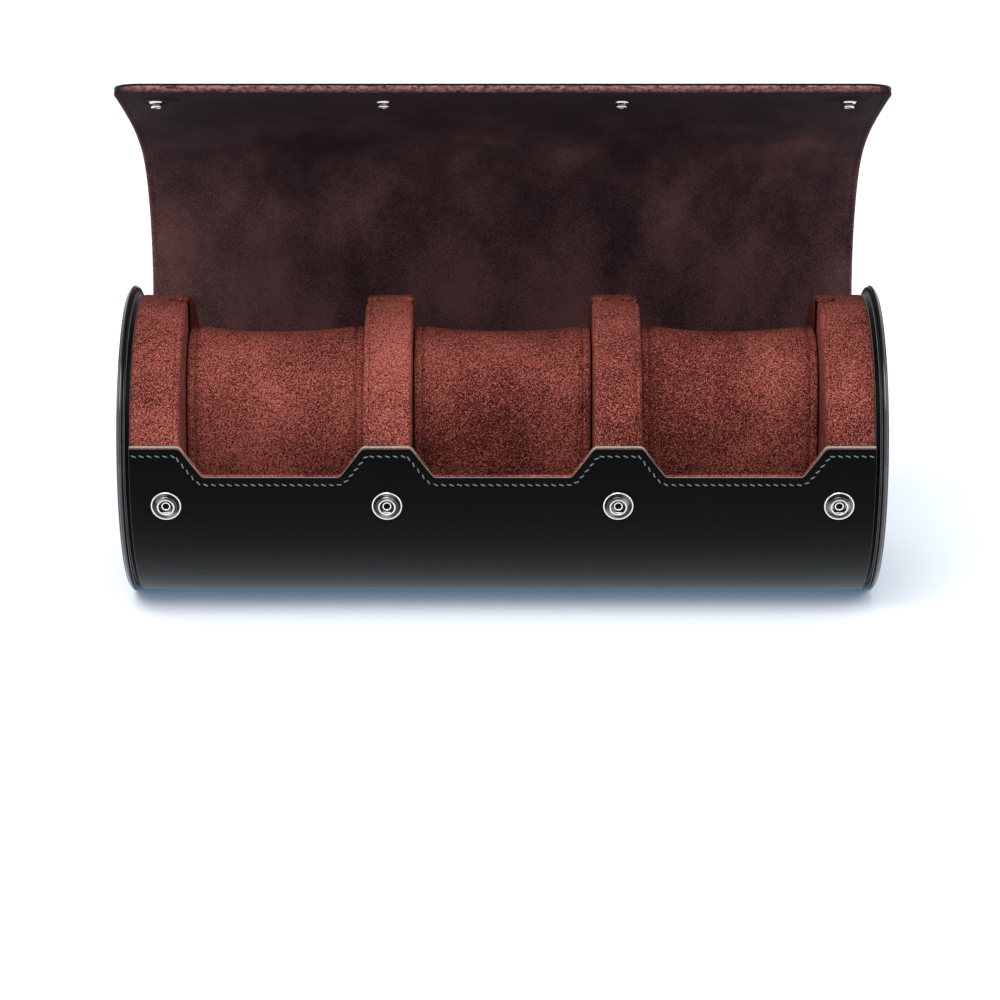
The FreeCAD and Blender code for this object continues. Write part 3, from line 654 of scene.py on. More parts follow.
# %% Stitches of the front edge
way = heading_of(FLAT_EDGE)
sewing = FLAT_EDGE + SEWN_BELOW * grid(way[:, 1], -way[:, 0])
keep = np.linalg.norm(sewing[:, None] - FLAT_EDGE[None], axis=2).min(axis=1) > SEWN_BELOW - 0.1
sewing = evenly(sewing[keep & (np.abs(sewing[:, 0]) < WRAP_HALF - 1.5)], FRONT_PITCH)
ahead = heading_of(sewing)
angle = sewing[:, 1] / BODY_RADIUS
place = grid(sewing[:, 0], *around(BODY_RADIUS - THREAD_SUNK, np.degrees(angle)))
out = grid(0, -np.cos(angle), np.sin(angle))
along = ahead[:, :1] * X_AXIS + ahead[:, 1:] * grid(0, np.sin(angle), np.cos(angle))
thread = joined(stitch_row(place, along, out, *FRONT_STITCH, lean=-19.0))
front_stitches = make_piece("front_edge_stitches", [thread], GREY_THREAD)
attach(front_stitches, "case")
print("stitches on the front edge", len(place))

# %% [markdown]
# ## Suede inside the tube
# The tube's board is hidden: suede is folded over its front edge, as a roll that follows the leather's
# edge, and each well has its own lining. The lining is a thin shell like the wrap, on a smaller radius.


# %% Folded lip and well linings
LIP_INNER, LIP_OUTER, LIP_DROP, LIP_CROWN = 46.38, 47.76, 4.0, 0.5
LINING = 0.8
half, middle = (LIP_OUTER - LIP_INNER) / 2, (LIP_OUTER + LIP_INNER) / 2
arch = np.linspace(0, math.pi, 12)
over = grid(middle - half * np.cos(arch) + 0.45 * np.sin(arch / 2) ** 8,
            0.3 - (LIP_CROWN + 0.3) * np.sin(arch))
section = np.concatenate([over, grid(LIP_OUTER, np.linspace(1, LIP_DROP, 4)),
                          grid(LIP_INNER, np.linspace(LIP_DROP, 1, 4))])
turn = edge_turn(x) - np.degrees(section[:, 1] / BODY_RADIUS)
lip = make_piece("edge_suede_lip", [shell(grid(x, *around(section[:, 0], turn)))], WELL_SUEDE)
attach(lip, "case")

for side, middle in WELLS.items():
    x = np.unique(np.clip(columns_x, middle - WELL_HALF + 0.1, middle + WELL_HALF - 0.1))[:, None]
    distance, depth, turn = round_the_tube(x, edge_section(LINING, 0.35, 6.0, 1.0), 7.0, 60)
    inside = shell(grid(x, *around(INNER_RADIUS - depth, turn)))
    lining = make_piece("well_suede_" + side, [inside], WELL_SUEDE)
    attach(lining, "case")
    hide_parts("well_lining_" + side)
print("well linings", len(WELLS))

# %% [markdown]
# ## Dividers and end partitions
# Each divider is a thick disc covered in suede, with a slot in each side where a cushion's peg slides
# down. It is built as the maker builds it, in layers: slotted side plates round a plain web. A layer is a
# profile (how far in from the outline, where along X) carried round an outline, and its flat sides are
# closed by one face each.


# %% Layer of a disc
PEG_WIDE, PEG_TALL, PEG_SETBACK, PEG_RISE = 2.6, 9.0, 2.8, 18.0
SLOT_HALF = PEG_WIDE / 2 + 0.65
SLOT = (PEG_SETBACK - SLOT_HALF, PEG_SETBACK + SLOT_HALF, PEG_RISE - PEG_TALL / 2 - 0.25)
SLOT_DEPTH, EDGE_ROUND, SEAM_IN = 5.8, 1.5, 1.9
DIVIDER_HALF = 7.5


def slotted_circle(slot=None):
    """Closed outline (y, z) round the axis: a circle, with a slot (y0, y1, floor) down from the top if given."""
    a = np.radians(np.linspace(0, 360, 300, endpoint=False))
    slot_floor = np.empty((0, 2))
    if slot is not None:
        y0, y1, bottom = slot
        a = np.linspace(math.acos(y0 / INNER_RADIUS), math.acos(y1 / INNER_RADIUS) + 2 * math.pi, 300)
        slot_floor = np.array([(y1, bottom), (y0, bottom)])
    points = soften(np.concatenate([INNER_RADIUS * grid(np.cos(a), np.sin(a)), slot_floor]), 0.5, 0.8)
    points[:, 1] = np.maximum(points[:, 1], BODY_RADIUS - INNER_RADIUS - AXIS)
    return points


def carried(outline, profile):
    """Grid of a profile carried round a closed outline: outline - normal * inset, at the profile's x."""
    yz = outline - outline_normals(outline) * profile[:, 0, None, None]
    return grid(profile[:, 1:], yz[..., 0], yz[..., 1] + AXIS)


def make_discs(name, layers, finish):
    """Object from layers of (outline, profile). Each layer is a closed shell of quads, with one face over
    each of its flat sides."""
    vertices, faces, start = [], [], 0
    for outline, profile in layers:
        v, quads = shell(carried(outline, profile), ends=False)
        sides = [list(range(len(outline)))[::-1], list(range(len(v) - len(outline), len(v)))]
        facing = outward(v, quads)
        if facing is not quads:
            sides = [side[::-1] for side in sides]
        vertices.append(v)
        faces += [[i + start for i in face] for face in facing.tolist() + sides]
        start += len(v)
    return smooth_object(name, np.concatenate(vertices), faces, finish, 50)


def rounded_edge(sign, sewn=False):
    """Profile of a slotted layer, from its inner side at x = 0 to its outer side: flat, a sewn groove if
    asked for, then a quarter circle over the edge. Each point is (inset, x)."""
    bend = np.linspace(0, math.pi / 2, 7)[1:]
    flat_end, seam = SLOT_DEPTH - EDGE_ROUND, SLOT_DEPTH - SEAM_IN
    x = np.concatenate([np.linspace(0, flat_end, 12), np.linspace(flat_end - 1.6, flat_end, 9)])
    x = np.unique(x.clip(0))
    inset = sewn * (0.30 * bell(x - seam, 0.28) + 0.10 * (x > seam))
    corner = grid(inset[-1] + EDGE_ROUND - EDGE_ROUND * np.cos(bend), flat_end + EDGE_ROUND * np.sin(bend))
    return np.concatenate([grid(inset, x), corner]) * (1, sign)

# %% Dividers and end partitions
END_LAYER = np.array([(0, 0), (0, 4), (0, 8.9), (0.25, 9.45), (0.8, 9.7)])
slotted, plain = slotted_circle(SLOT), slotted_circle()
web = DIVIDER_HALF - SLOT_DEPTH
for side, sign in (("left", -1), ("right", 1)):
    middle = sign * (WELL_HALF + DIVIDER_HALF)
    away = rounded_edge(sign, sewn=True) + (0, middle + sign * web)
    toward = rounded_edge(-sign) + (0, middle - sign * web)
    between = np.array([(0, middle - web), (0, middle), (0, middle + web)])
    layers = [(slotted, away), (slotted, toward), (plain, between)]
    divider = make_discs("divider_suede_" + side, layers, WELL_SUEDE)
    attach(divider, "case")
    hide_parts("divider_" + side)
    wall = sign * (WELL_HALF * 3 + 2 * DIVIDER_HALF + SLOT_DEPTH)
    inner, outer = rounded_edge(-sign, sewn=True) + (0, wall), END_LAYER * (1, sign) + (0, wall)
    layers = [(slotted, inner), (plain, outer)]
    partition = make_discs("end_partition_suede_" + side, layers, WELL_SUEDE)
    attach(partition, "case")
    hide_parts("end_partition_" + side)
print("discs: 2 dividers, 2 end partitions")

# %% [markdown]
# ## Ends of the roll
# Each end is a leather-covered disc with a bead of patent piping round it. Both are turned shapes: a
# profile of (outward x, radius) swept once round the roll, and pressed flat where the roll stands.


# %% Turned ends
SEAM_RADIUS, DISC_FACE, RIM_RADIUS, DISC_BACK = 44.9, 119.62, 47.3, 117.45
BEADS = ((118.75, 48.75, 0.62, 0.75), (117.72, 48.1, 0.38, 0.85), (119.55, 48.0, 0.36, 0.55))


def swept_round(profile, sign):
    """Grid of a profile (x, radius) at every turn round the roll axis, resting on the floor plane."""
    a = np.radians(np.linspace(0, 360, 240, endpoint=False))
    radius = profile[:, 1:]
    return grid(sign * profile[:, :1], -radius * np.cos(a), above(0, AXIS + radius * np.sin(a)))


r = np.concatenate([[0.02], np.linspace(3, 40, 12), np.linspace(41, RIM_RADIUS, 22)])
face = DISC_FACE + 0.28 * np.sqrt(np.clip(1 - (r / 47.6) ** 2, 0, 1)) - 0.42 * bell(r - SEAM_RADIUS, 0.45)
bend = np.linspace(0, math.pi / 2, 6)[1:]
rim = grid(face[-1] - 0.9 * (1 - np.cos(bend)), RIM_RADIUS + 0.95 * np.sin(bend))
back = np.array([(118.0, 48.25), (DISC_BACK, 48.2), (DISC_BACK, 40.0), (DISC_BACK, 0.02)])
END_DISC = np.concatenate([grid(face, r), rim, back])
round_bead = np.linspace(0, 2 * math.pi, 16, endpoint=False)
for side, sign in (("left", -1), ("right", 1)):
    disc = make_piece("end_leather_" + side, [shell(swept_round(END_DISC, sign))], BLACK_LEATHER)
    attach(disc, "case")
    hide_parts("end_disc_" + side)
    beads = []
    for x, radius, half_x, half_r in BEADS:
        oval_section = grid(x + half_x * np.cos(round_bead), radius + half_r * np.sin(round_bead))
        beads.append(shell(swept_round(oval_section, sign), ring=True))
    piping = make_piece("end_piping_bead_" + side, beads, PIPING)
    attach(piping, "case")
    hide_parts("end_piping_" + side)
    a = np.radians(np.arange(-12.0, 192.0, END_PITCH_DEGREES))
    spot = grid(sign * 119.52, -SEAM_RADIUS * np.cos(a), AXIS + SEAM_RADIUS * np.sin(a))
    out = np.broadcast_to(sign * X_AXIS, spot.shape)
    thread = joined(stitch_row(spot, grid(0, np.sin(a), np.cos(a)), out, *END_STITCH))
    seam = make_piece("end_stitches_" + side, [thread], BLACK_THREAD)
    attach(seam, "case")
print("ends of the roll: disc, piping and stitches on each")

# %% [markdown]
# ## The flap
# The flap's outer face follows one curve in the YZ plane: a short bend at the hinge, then four arcs whose
# direction ("lean") grows evenly along each. Leather and lining are sheets between two depths below that
# curve. The flap bends at the hinge and at three flex lines, and a piece can bend across only one joint,
# so each sheet is cut where it is stiff.

# %% Curve of the flap
joints = {joint["name"]: np.array(joint.get("pos_m", (0, 0, 0)))[1:] / MM for joint in frame["joints"]}
HINGE, FLEX = joints["flap_fold"], [joints[n] for n in ("flap_bend_1", "flap_bend_2", "snap_edge_press")]
ARCS = ((84.0064, 53.1817), (27.0, 200.0), (26.5, 1000.0), (31.9, 1000.0))
OPEN_LEAN = -34.6
knots = np.concatenate([[0], np.cumsum([length for length, _ in ARCS])])
arc_bends = [math.degrees(length / radius) for length, radius in ARCS]
leans = OPEN_LEAN + np.concatenate([[0], np.cumsum(arc_bends)])
FLAP_LENGTH = knots[-1]
fine = np.linspace(0, FLAP_LENGTH, 6000)
lean = np.radians(np.interp(fine, knots, leans))
step = fine[1] - fine[0]
heading = grid(-np.sin(lean), np.cos(lean))
face_start = HINGE + LEATHER / 2 * np.array([math.cos(lean[0]), math.sin(lean[0])])
travel = np.concatenate([np.zeros((1, 2)), np.cumsum((heading[1:] + heading[:-1]) / 2 * step, axis=0)])
face_line = face_start + travel
misses = [round(float(np.linalg.norm(face_line - flex, axis=1).min()), 4) for flex in FLEX]
print("flex lines miss the curve by", misses, "mm")

# %% Hinge bend joined to the wrap
SPINE_END = 9.0
wrap_turn = math.radians(WRAP_END_TURN)
p0 = np.array([-BODY_RADIUS * math.cos(wrap_turn), AXIS + BODY_RADIUS * math.sin(wrap_turn)])
t0 = -np.array([math.sin(wrap_turn), math.cos(wrap_turn)])
at_end = int(round(SPINE_END / step))
p1, t1 = face_line[at_end], heading[at_end]
chord = np.linalg.norm(p1 - p0)
t = np.linspace(0, 1, 200)[:, None]
spine = ((2 * t**3 - 3 * t**2 + 1) * p0 + (t**3 - 2 * t**2 + t) * chord * t0
         + (3 * t**2 - 2 * t**3) * p1 + (t**3 - t**2) * chord * t1)
line = np.concatenate([spine, face_line[at_end + 1:]])
length = np.concatenate([[0], np.cumsum(np.linalg.norm(np.diff(line, axis=0), axis=1))])
length += FLAP_LENGTH - length[-1]
tangent = unit(np.gradient(line, length, axis=0))
FLAP_START = length[0]
print("flap curve from", round(FLAP_START, 2), "to", round(FLAP_LENGTH, 2), "mm")


def on_flap(s, depth):
    """Points (y, z) of the flap: the curve at arc length s, moved by depth towards the lining."""
    y, z = (np.interp(s, length, line[:, k]) for k in (0, 1))
    ty, tz = (np.interp(s, length, tangent[:, k]) for k in (0, 1))
    norm = np.hypot(ty, tz)
    return y - depth * tz / norm, z + depth * ty / norm


# %% [markdown]
# ## Sheets of the flap
# A sheet is a closed loop of points (x, depth) at every station along the curve. The loop is a flat oval
# as wide as the flap; near the tip it narrows along the arc of the rounded corners and closes.

# %% Sheet of the flap
FLAP_HALF, TIP_RADIUS = 117.0, 8.0
CUTS = (FLAP_START, 45.0, 97.5, 124.2, FLAP_LENGTH)
TIP_ROWS = np.array([4.4, 3.6, 3.0, 2.7, 2.4, 2.1, 1.8, 1.2])
SIDE_COLUMNS = np.array([6.0, 4.5, 3.6, 3.1, 2.75, 2.4, 2.05, 1.7, 1.2, 0.9])


def half_width(s):
    """Half the flap's width at s: it grows from the wrap's to full width, and turns in at the tip corners."""
    full = WRAP_HALF + (FLAP_HALF - WRAP_HALF) * ramp(s + 2, 14)
    past = np.clip(s - (FLAP_LENGTH - TIP_RADIUS), 0, TIP_RADIUS)
    return full - TIP_RADIUS + np.sqrt(TIP_RADIUS**2 - past**2)


def stations(start, end):
    """Arc lengths of the rows: 2 mm apart, closer at both ends and round the tip corners."""
    rows = [np.linspace(start, end, int((end - start) / 2)), [start + 0.3, start + 0.8, end - 0.8, end - 0.3]]
    if end >= FLAP_LENGTH:
        corner = TIP_RADIUS * (1 - np.sin(np.linspace(0, math.pi / 2, 16)))
        rows += [FLAP_LENGTH - corner, FLAP_LENGTH - TIP_ROWS]
    return np.unique(np.round(np.concatenate(rows), 3))


def sheet_points(s, depths, rounding, bulge=None):
    """Grid (stations, loop) of a sheet between two depths; each loop has rounded sides, and the last rows
    close the tip with the same rounding. bulge(s, edge distance, x) adds to the lining side's depth."""
    bend = np.linspace(0, math.pi / 2, 5)
    side, rise = rounding * (1 - np.sin(bend)), rounding * (1 - np.cos(bend))
    close = np.zeros(len(s))
    if s[-1] >= FLAP_LENGTH:
        whole = s[:-1][s[:-1] < FLAP_LENGTH - rounding - 0.05]
        s = np.concatenate([whole, [FLAP_LENGTH - rounding], FLAP_LENGTH - side[1:]])
        close = np.concatenate([np.zeros(len(s) - 4), rise[1:]])
    near, far = depths(s)
    half = half_width(s)[:, None]
    left = -half + np.concatenate([side[::-1], SIDE_COLUMNS[::-1]])
    right = half - np.concatenate([SIDE_COLUMNS, side])
    x = np.concatenate([left, (half - 7.5) * np.linspace(-1, 1, 61), right], axis=1)
    edge = np.minimum(half - np.abs(x), np.maximum(FLAP_LENGTH - s, 0)[:, None])
    drop = np.concatenate([rise[::-1], np.zeros(x.shape[1] - 2 * len(rise)), rise])
    drop = np.maximum(drop, close[:, None])
    pull = 0.13 * bell(edge - SEWN_BELOW, 0.5)
    upper, lower = near[:, None] + drop + pull, far[:, None] - drop - pull
    if bulge is not None:
        lower = lower + bulge(s[:, None], edge, x)
    loop_x = np.concatenate([x, x[:, ::-1]], axis=1)
    return grid(loop_x, *on_flap(s[:, None], np.concatenate([upper, lower[:, ::-1]], axis=1)))


def leather_depths(s):
    """The leather is pared down from its full thickness over the last 9 mm, so that its edge is thin."""
    return np.zeros_like(s), LEATHER - 0.62 * ramp(s - FLAP_LENGTH + 9, 8)


def lining_depths(s):
    """The lining lies on the leather's back; at the wrap it fills the tube wall, along the flap it covers the
    board, and past the board, at the tip, it comes down a little."""
    past_board = ramp(s - FLAP_LENGTH + 5, 4)
    return leather_depths(s)[1] + 0.03, 2.58 + 0.22 * ramp(s - FLAP_START, 12) - 0.25 * past_board


def lining_swell(s, edge, x):
    """Soft lining: a rolled edge at the tip and slow hollows where it isn't glued."""
    tip_roll = 0.30 * bell(FLAP_LENGTH - s - 1.1, 1.5) * ramp(edge + 0.2, 0.5)
    waves = 0.10 * np.sin(x / 23 + 0.7) * np.sin(s / 13 + 0.4) + 0.07 * np.sin(x / 9.5 + s / 21) - 0.17
    return tip_roll + waves * (ramp(edge - 4, 8) * ramp(s - 14, 14))


def rim_share(points):
    """Share of the tip's colour, a painted highlight: 1 where the roll of suede along the flap's tip meets the
    leather, fading to 0 over two millimetres of its depth as if lit from above; it is weaker at the corners, and
    a faint line runs along the sides."""
    near_tip = np.hypot(points[..., 1] - line[-1, 0], points[..., 2] - line[-1, 1])
    side = FLAP_HALF - np.abs(points[..., 0])
    at_tip = (0.45 + 0.55 * ramp(side - 2, 9)) * ramp(2.9 - near_tip, 2.4)
    return np.maximum(at_tip, 0.4 * ramp(1.0 - side, 0.6))


def blend_part(piece):
    """Bakes the piece's transform into its mesh."""
    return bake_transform(piece)

# %% Leather and lining of the flap
PART = ("hinge", "back", "middle", "edge")
REPLACED = (("spine_strip",), ("flap_back_leather",), ("flap_mid_leather",),
            ("flap_front_leather", "flap_edge_leather"))
LINED = (("spine_lining",), ("flap_back_board", "flap_back_suede"), ("flap_mid_board", "flap_mid_suede"),
         ("flap_front_board", "flap_front_suede", "flap_edge_board", "flap_edge_suede"))
for k, part in enumerate(PART):
    s = stations(CUTS[k], CUTS[k + 1])
    hide = make_piece("flap_leather_" + part, [shell(sheet_points(s, leather_depths, 0.42))], BLACK_LEATHER)
    blend_part(hide)
    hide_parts(*REPLACED[k])
    sheet = sheet_points(s, lining_depths, 0.62, lining_swell)
    row_s = np.interp(np.arange(len(sheet)), np.linspace(0, len(sheet) - 1, len(s)), s)
    # painted shade along the flap: 1 near the hinge, down to 0 towards the tip
    nap = np.broadcast_to(ramp(150 - row_s, 125)[:, None], sheet.shape[:2])
    marks = {"rim": rim_share(sheet), "nap": nap}
    lining = make_piece("flap_lining_" + part, [shell(sheet)], FLAP_SUEDE, marks)
    blend_part(lining)
    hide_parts(*LINED[k])
print("flap sheets", 2 * len(PART))

# %% Stitches round the flap
side_x, corner_s = -FLAP_HALF + SEWN_BELOW, FLAP_LENGTH - TIP_RADIUS
a = np.linspace(math.pi, math.pi / 2, 12)
corner = (-FLAP_HALF + TIP_RADIUS, corner_s) + (TIP_RADIUS - SEWN_BELOW) * grid(np.cos(a), np.sin(a))
half = np.concatenate([[(side_x, 12.0), (side_x, corner_s)], corner])
path = evenly(np.concatenate([half, half[::-1] * (-1, 1)]), FLAP_PITCH)
ahead, s = heading_of(path), path[:, 1]
(y, z), (next_y, next_z) = on_flap(s, THREAD_SUNK), on_flap(s + 0.5, THREAD_SUNK)
run = unit(grid(0, next_y - y, next_z - z))
along = ahead[:, :1] * X_AXIS + ahead[:, 1:] * run
out = grid(0, run[:, 2], -run[:, 1])
shells = stitch_row(grid(path[:, 0], y, z), along, out, *FLAP_STITCH, lean=6.0)
for k, part in enumerate(PART):
    mine = [one for one, at in zip(shells, s) if CUTS[k] <= at < CUTS[k + 1]]
    row = make_piece("flap_stitches_outside_" + part, [joined(mine)], BLACK_THREAD)
    blend_part(row)
print("stitches round the flap", len(shells))

# %% [markdown]
# ## Snaps
# The snap parts are stamped from thin sheet and plated, so every rim is rolled. Each is a profile of
# (radius, height, hollow) turned about its own axis, where hollow is the share of painted shade and dark
# reflection: 1 at the bottom of a groove and over the stud's flange. Cutting the corners of the profile
# twice rounds them off, and the rounded rims are what catches the light.


# %% Turned metal
def cut_corners(profile, times=2):
    """Chaikin's rule: each inner corner gives way to the points at 1/4 and 3/4 of the sides next to it."""
    profile = np.array(profile)
    for _ in range(times):
        first = 0.75 * profile[:-1] + 0.25 * profile[1:]
        second = 0.25 * profile[:-1] + 0.75 * profile[1:]
        between = np.stack([first, second], axis=1).reshape(-1, profile.shape[1])
        profile = np.concatenate([profile[:1], between, profile[-1:]])
    return profile


ROUND = np.linspace(0, 2 * math.pi, 56, endpoint=False)


def turned_shell(profile, place, direction, ring=False):
    """Shell of a profile (radius, height) turned about an axis: place + direction * height + the radius
    round it."""
    rim = np.cos(ROUND)[:, None] * X_AXIS + np.sin(ROUND)[:, None] * np.cross(direction, X_AXIS)
    points = place + profile[:, 1, None, None] * direction + profile[:, 0, None, None] * rim
    return shell(points, ring=ring)


def painted_dark_share(profile, phase):
    """Painted shade and dark reflection on the metal: the profile's hollow, weaker in two places round the part
    as a painted reflection of the bright front: times 1.1 + 0.35 sin(2a + phase), held between 0 and 1."""
    return profile[:, 2, None] * np.clip(1.1 + 0.35 * np.sin(2 * ROUND + phase), 0, 1)


STUD = cut_corners([
    (0.02, -0.30, 1), (4.60, -0.30, 1), (4.76, -0.02, 1), (4.74, 0.20, 1), (4.50, 0.30, 1), (3.20, 0.28, 1),
    (2.40, 0.32, 1), (2.16, 0.56, 0.2), (2.05, 0.82, 0), (1.80, 0.86, 0), (1.56, 0.92, 1), (1.50, 1.10, 1),
    (1.50, 1.38, 1), (1.66, 1.58, 0.3), (1.77, 1.80, 0), (1.74, 2.04, 0), (1.50, 2.20, 0), (1.10, 2.20, 0.2),
    (0.86, 2.10, 0.6), (0.80, 1.70, 1), (0.80, 0.90, 1), (0.02, 0.90, 1)])
CAP = cut_corners([
    (0.02, -0.30, 0), (4.55, -0.30, 0), (4.76, -0.10, 0), (4.76, 0.36, 0), (4.62, 0.60, 0), (4.20, 0.74, 0),
    (3.40, 0.98, 0), (2.30, 1.22, 0), (1.20, 1.36, 0), (0.40, 1.40, 0), (0.02, 1.40, 0)])
SOCKET = cut_corners([
    (1.56, -0.40, 1), (4.50, -0.40, 0), (4.76, -0.05, 0), (4.76, 0.28, 0), (4.62, 0.46, 0), (4.36, 0.46, 0),
    (4.20, 0.34, 0.7), (4.00, 0.24, 1), (3.80, 0.24, 1), (3.68, 0.42, 1), (3.62, 0.80, 1), (3.46, 1.12, 0.9),
    (3.16, 1.28, 1), (2.86, 1.20, 1), (2.66, 1.30, 0.3), (2.48, 1.42, 0), (2.30, 1.36, 0), (2.22, 1.16, 0.4),
    (2.28, 1.02, 1), (2.70, 0.96, 1), (2.90, 0.80, 1), (2.90, 0.48, 1), (2.60, 0.36, 1), (1.56, 0.36, 1),
    (1.56, -0.40, 1)])[:-1]
EYELET = cut_corners([
    (0.94, -0.60, 1), (1.40, -0.60, 1), (1.42, 0.20, 0.6), (1.48, 0.42, 0), (1.40, 0.56, 0), (1.18, 0.58, 0),
    (1.00, 0.48, 0), (0.95, 0.20, 0.8), (0.94, -0.60, 1)])[:-1]
PILE = cut_corners([
    (2.35, 0.24), (2.60, 0.44), (3.40, 0.56), (4.60, 0.60), (5.60, 0.50), (6.40, 0.24), (7.40, -0.04),
    (8.20, -0.22), (8.20, -0.50), (5.00, -0.50), (4.86, 0.10), (4.70, 0.36), (3.00, 0.36)])

# %% Place the snaps
SNAP_TURN, STUD_DEPTH = math.radians(-5.5), 2.82
low, high = (np.array(corner)[1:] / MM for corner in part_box("snap_studs"))
SNAP_S = float(length[np.hypot(*(line - (low + high) / 2).T).argmin()])
socket_out = np.array([0, -math.cos(SNAP_TURN), math.sin(SNAP_TURN)])
(y, z), (y_in, z_in) = on_flap(SNAP_S, 0.0), on_flap(SNAP_S, 1.0)
into = np.array([0, y_in - y, z_in - z])
seats = grid(SNAP_PLACES, 0, AXIS) + socket_out * BODY_RADIUS
tops = grid(SNAP_PLACES, y, z)
feet = tops + into * STUD_DEPTH
for name, profile, places, direction, ring, finish, node, body in (
        ("sockets", SOCKET, seats, socket_out, True, NICKEL, "snap_sockets", "case"),
        ("eyelets", EYELET, seats, socket_out, True, NICKEL, "snap_rivets", "case"),
        ("caps", CAP, tops, -into, False, SATIN_NICKEL, "snap_caps", "flap_edge"),
        ("studs", STUD, feet, into, False, NICKEL, "snap_studs", "flap_edge")):
    shells = [turned_shell(profile, place, direction, ring) for place in places]
    # painted shade and dark reflection on the snaps' grooves and flanges
    hollow = np.concatenate([painted_dark_share(profile, 1.3 * k + 0.6) for k in range(len(places))])
    metal = make_piece("press_" + name, shells, finish, {"hollow": hollow}, crease=50)
    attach(metal, body)
    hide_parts(node)
# With no nap attribute, these suede rings take the lining's darkest painted shade.
piles = [turned_shell(PILE, place, into, ring=True) for place in feet]
pile = make_piece("stud_suede_rings", piles, FLAP_SUEDE)
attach(pile, "flap_edge")
print("snaps at", round(SNAP_S, 2), "mm along the flap")

# %% [markdown]
# ## Cushions
# A cushion is foam with a suede cover pulled round it and sewn to two stiff oval ends. The cover stands
# proud just inside each seam and hollows a little in between, because the hide is stretched from end to
# end. That shape is worked out first, and then Blender's cloth solver lets the hide settle on it, pinned at
# both seams and pressed outwards by the foam, which gives the uneven swell of real padding. A flat tab on
# each end slides down a slot and carries the cushion.

# %% Oval outline and cover
HALF_HEIGHT, HALF_DEPTH, END_RADIUS = 37.0, 22.5, 18.0
SEAM, CUSHION_HALF = 25.9, 28.1


def oval():
    """Closed outline (y, z) of four arcs that meet with one tangent: each point is the arc's centre plus its
    radius times the direction, for evenly spaced directions."""
    rise = HALF_HEIGHT - END_RADIUS
    side_radius = (HALF_DEPTH**2 + rise**2 - END_RADIUS**2) / (2 * (HALF_DEPTH - END_RADIUS))
    turn = math.atan2(rise, side_radius - HALF_DEPTH)
    a = np.linspace(0, 2 * math.pi, 3000, endpoint=False)
    on_side = np.abs(np.sin(a)) < math.sin(turn)
    radius = np.where(on_side, side_radius, END_RADIUS)
    centre_y = np.where(on_side, -np.sign(np.cos(a)) * (side_radius - HALF_DEPTH), 0)
    centre_z = np.where(on_side, 0, np.sign(np.sin(a)) * rise)
    return grid(centre_y + radius * np.cos(a), centre_z + radius * np.sin(a))


def cover_swell(x, around_share, seed):
    """How far the cover stands out, in two parts: a crown inside each seam, a hollow in the middle and soft
    dents; and what is pressed in after it has settled, the pulled seam and small puckers beside it."""
    hollow = -1.0 + 1.5 * ramp(np.abs(x) / SEAM, 0.88) ** 2.4
    to_seam = SEAM - np.abs(x)
    seam_pull = -0.95 * np.exp(-((to_seam / 0.85) ** 1.3))
    a = 2 * math.pi * around_share
    rng = np.random.default_rng(seed)
    dents = sum(rng.uniform(0.03, 0.09) * np.sin(k * a + rng.uniform(0, 6))
                * np.sin(x / rng.uniform(5, 11) + rng.uniform(0, 6)) for k in (2, 3, 5, 7, 9))
    puckers = 0.13 * np.exp(-to_seam / 2.6) * np.sin(41 * a + 3 * np.sin(5 * a) + seed)
    return hollow + dents * ramp(to_seam, 6), seam_pull + puckers


# %% Settle a cover with cloth simulation
SIM_SCALE, SIM_FRAMES, SWELL_CAP = 10.0, 20, 0.8
HIDE = {"vertex_group_mass": "seam", "quality": 5, "mass": 0.3, "tension_stiffness": 15.0,
        "compression_stiffness": 15.0, "bending_stiffness": 1.5, "use_pressure": True,
        "uniform_pressure_force": 4.0}


def settled(points):
    """The grid of an open tube after a cloth simulation with its end rows pinned. It is simulated ten times
    as large, because the solver's default sizes suit clothes. Each point then moves by cap * tanh(d / cap)
    along its own way, where d is how far the solver moved it, so nothing moves further than the cap."""
    large = points * MM * SIM_SCALE
    vertices, quads = shell(large, ends=False)
    quads = outward(vertices, quads)
    mesh = bpy.data.meshes.new("settling")
    mesh.from_pydata(vertices, [], quads.tolist())
    body = bpy.data.objects.new("settling", mesh)
    scene = bpy.context.scene
    scene.collection.objects.link(body)
    columns = points.shape[1]
    pinned = body.vertex_groups.new(name="seam")
    pinned.add([*range(columns), *range(len(vertices) - columns, len(vertices))], 1.0, "REPLACE")
    cloth = body.modifiers.new("cloth", "CLOTH")
    for key, value in HIDE.items():
        setattr(cloth.settings, key, value)
    cloth.settings.effector_weights.gravity = 0.0
    for number in range(1, SIM_FRAMES + 1):
        scene.frame_set(number)
    shape = body.evaluated_get(bpy.context.evaluated_depsgraph_get()).to_mesh()
    after = np.empty(len(vertices) * 3)
    shape.vertices.foreach_get("co", after)
    scene.frame_set(1)
    bpy.data.objects.remove(body)
    moved = (after.reshape(points.shape) - large) / MM / SIM_SCALE
    far = np.linalg.norm(moved, axis=-1, keepdims=True)
    print("cloth moved by", np.round(np.percentile(far, (5, 50, 95)), 2), "mm before the cap")
    return points + moved * np.tanh(far / SWELL_CAP) * SWELL_CAP / np.maximum(far, 1e-9)


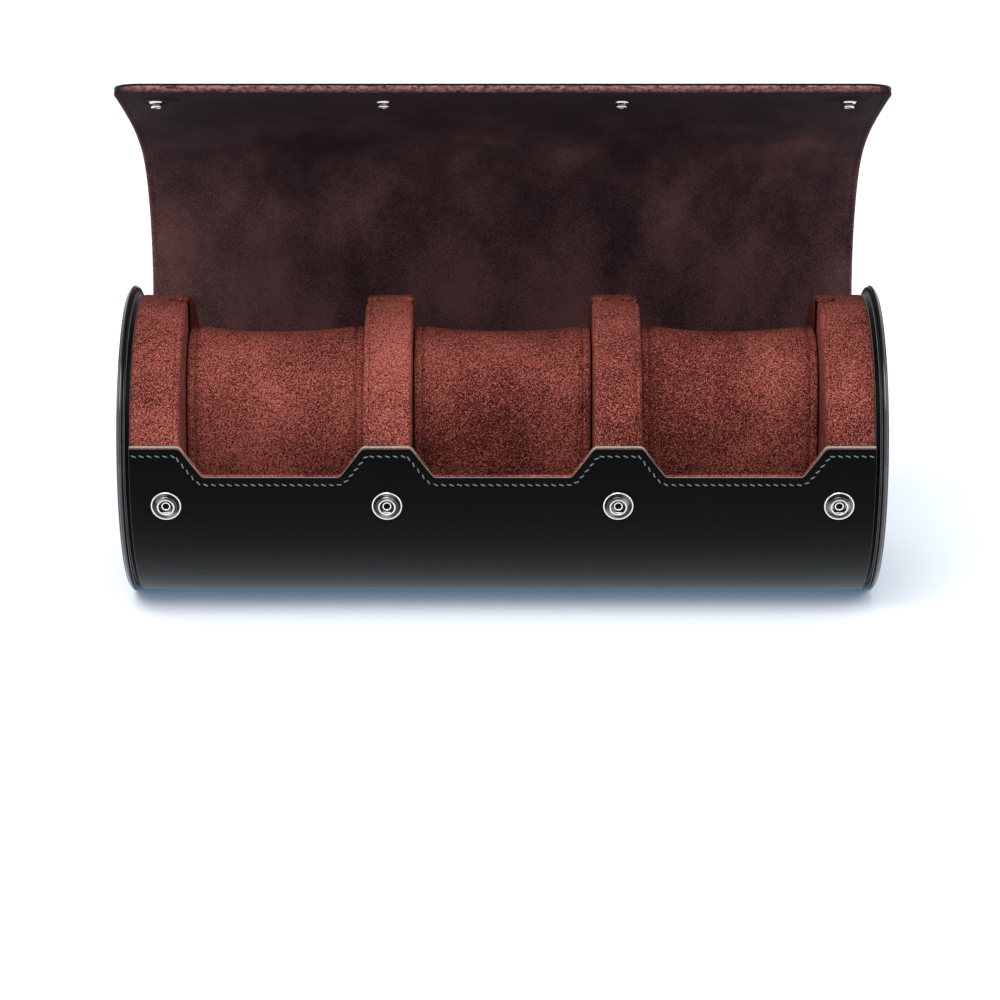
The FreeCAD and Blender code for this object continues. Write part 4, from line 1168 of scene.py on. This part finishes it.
# %% Cushion covers
OVAL = evenly(oval(), 1.05, closed=True)
OVAL_NORMAL = outline_normals(OVAL)
COVER_INSET = 0.35
from_seam = np.array([0, 0.3, 0.6, 0.9, 1.3, 1.8])
even_part = np.linspace(2.5 - SEAM, SEAM - 2.5, 45)
x = np.concatenate([from_seam - SEAM, even_part, SEAM - from_seam[::-1]])[:, None]
share = np.linspace(0, 1, len(OVAL), endpoint=False)[None]
for number, (side, middle) in enumerate(WELLS.items()):
    base, creases = cover_swell(x, share, number + 4)
    yz = OVAL[None] + OVAL_NORMAL[None] * (base[..., None] - COVER_INSET)
    points = grid(x, yz[..., 0], yz[..., 1])
    points = settled(points)
    points = points + grid(0, *OVAL_NORMAL.T) * creases[..., None] + (middle, 0, AXIS)
    cover = make_piece("cushion_cover_" + side, [shell(points)], WELL_SUEDE, crease=70)
    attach(cover, "cushion_" + side)
    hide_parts("cushion_" + side + "_cover", "cushion_" + side + "_core")
print("cushion covers", len(WELLS), "with", len(OVAL), "points round")

# %% Ends and pegs of the cushions
PLATE = np.array([(0.55, -0.25), (0.12, 0.05), (0, 0.4), (0, 0.8), (0.02, 1.2), (0.10, 1.6), (0.32, 1.95),
                  (0.70, 2.16), (1.3, 2.2)])
tab = np.array([(-1, -1), (1, -1), (1, 1), (-1, 1)]) * (PEG_WIDE / 2, PEG_TALL / 2)
peg_box = soften(tab, 0.2, 0.5) + (PEG_SETBACK, PEG_RISE)
PEG = np.array([(0, -0.5), (0, 1.5), (0.03, 3.0), (0, 4.4), (0.06, 5.1), (0.28, 5.65), (0.65, 5.93),
                (1.1, 6.0)])
for side, middle in WELLS.items():
    plates, pegs = [], []
    for sign in (-1, 1):
        plates.append((OVAL, PLATE * (1, sign) + (0, middle + sign * SEAM)))
        pegs.append((peg_box, PEG * (1, sign) + (0, middle + sign * CUSHION_HALF)))
    for name, layers, node in (("cushion_ends_", plates, "_end_plates"), ("cushion_pegs_", pegs, "_pegs")):
        piece = make_discs(name + side, layers, WELL_SUEDE)
        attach(piece, "cushion_" + side)
        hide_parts("cushion_" + side + node)
print("cushion ends and pegs", 2 * len(WELLS))
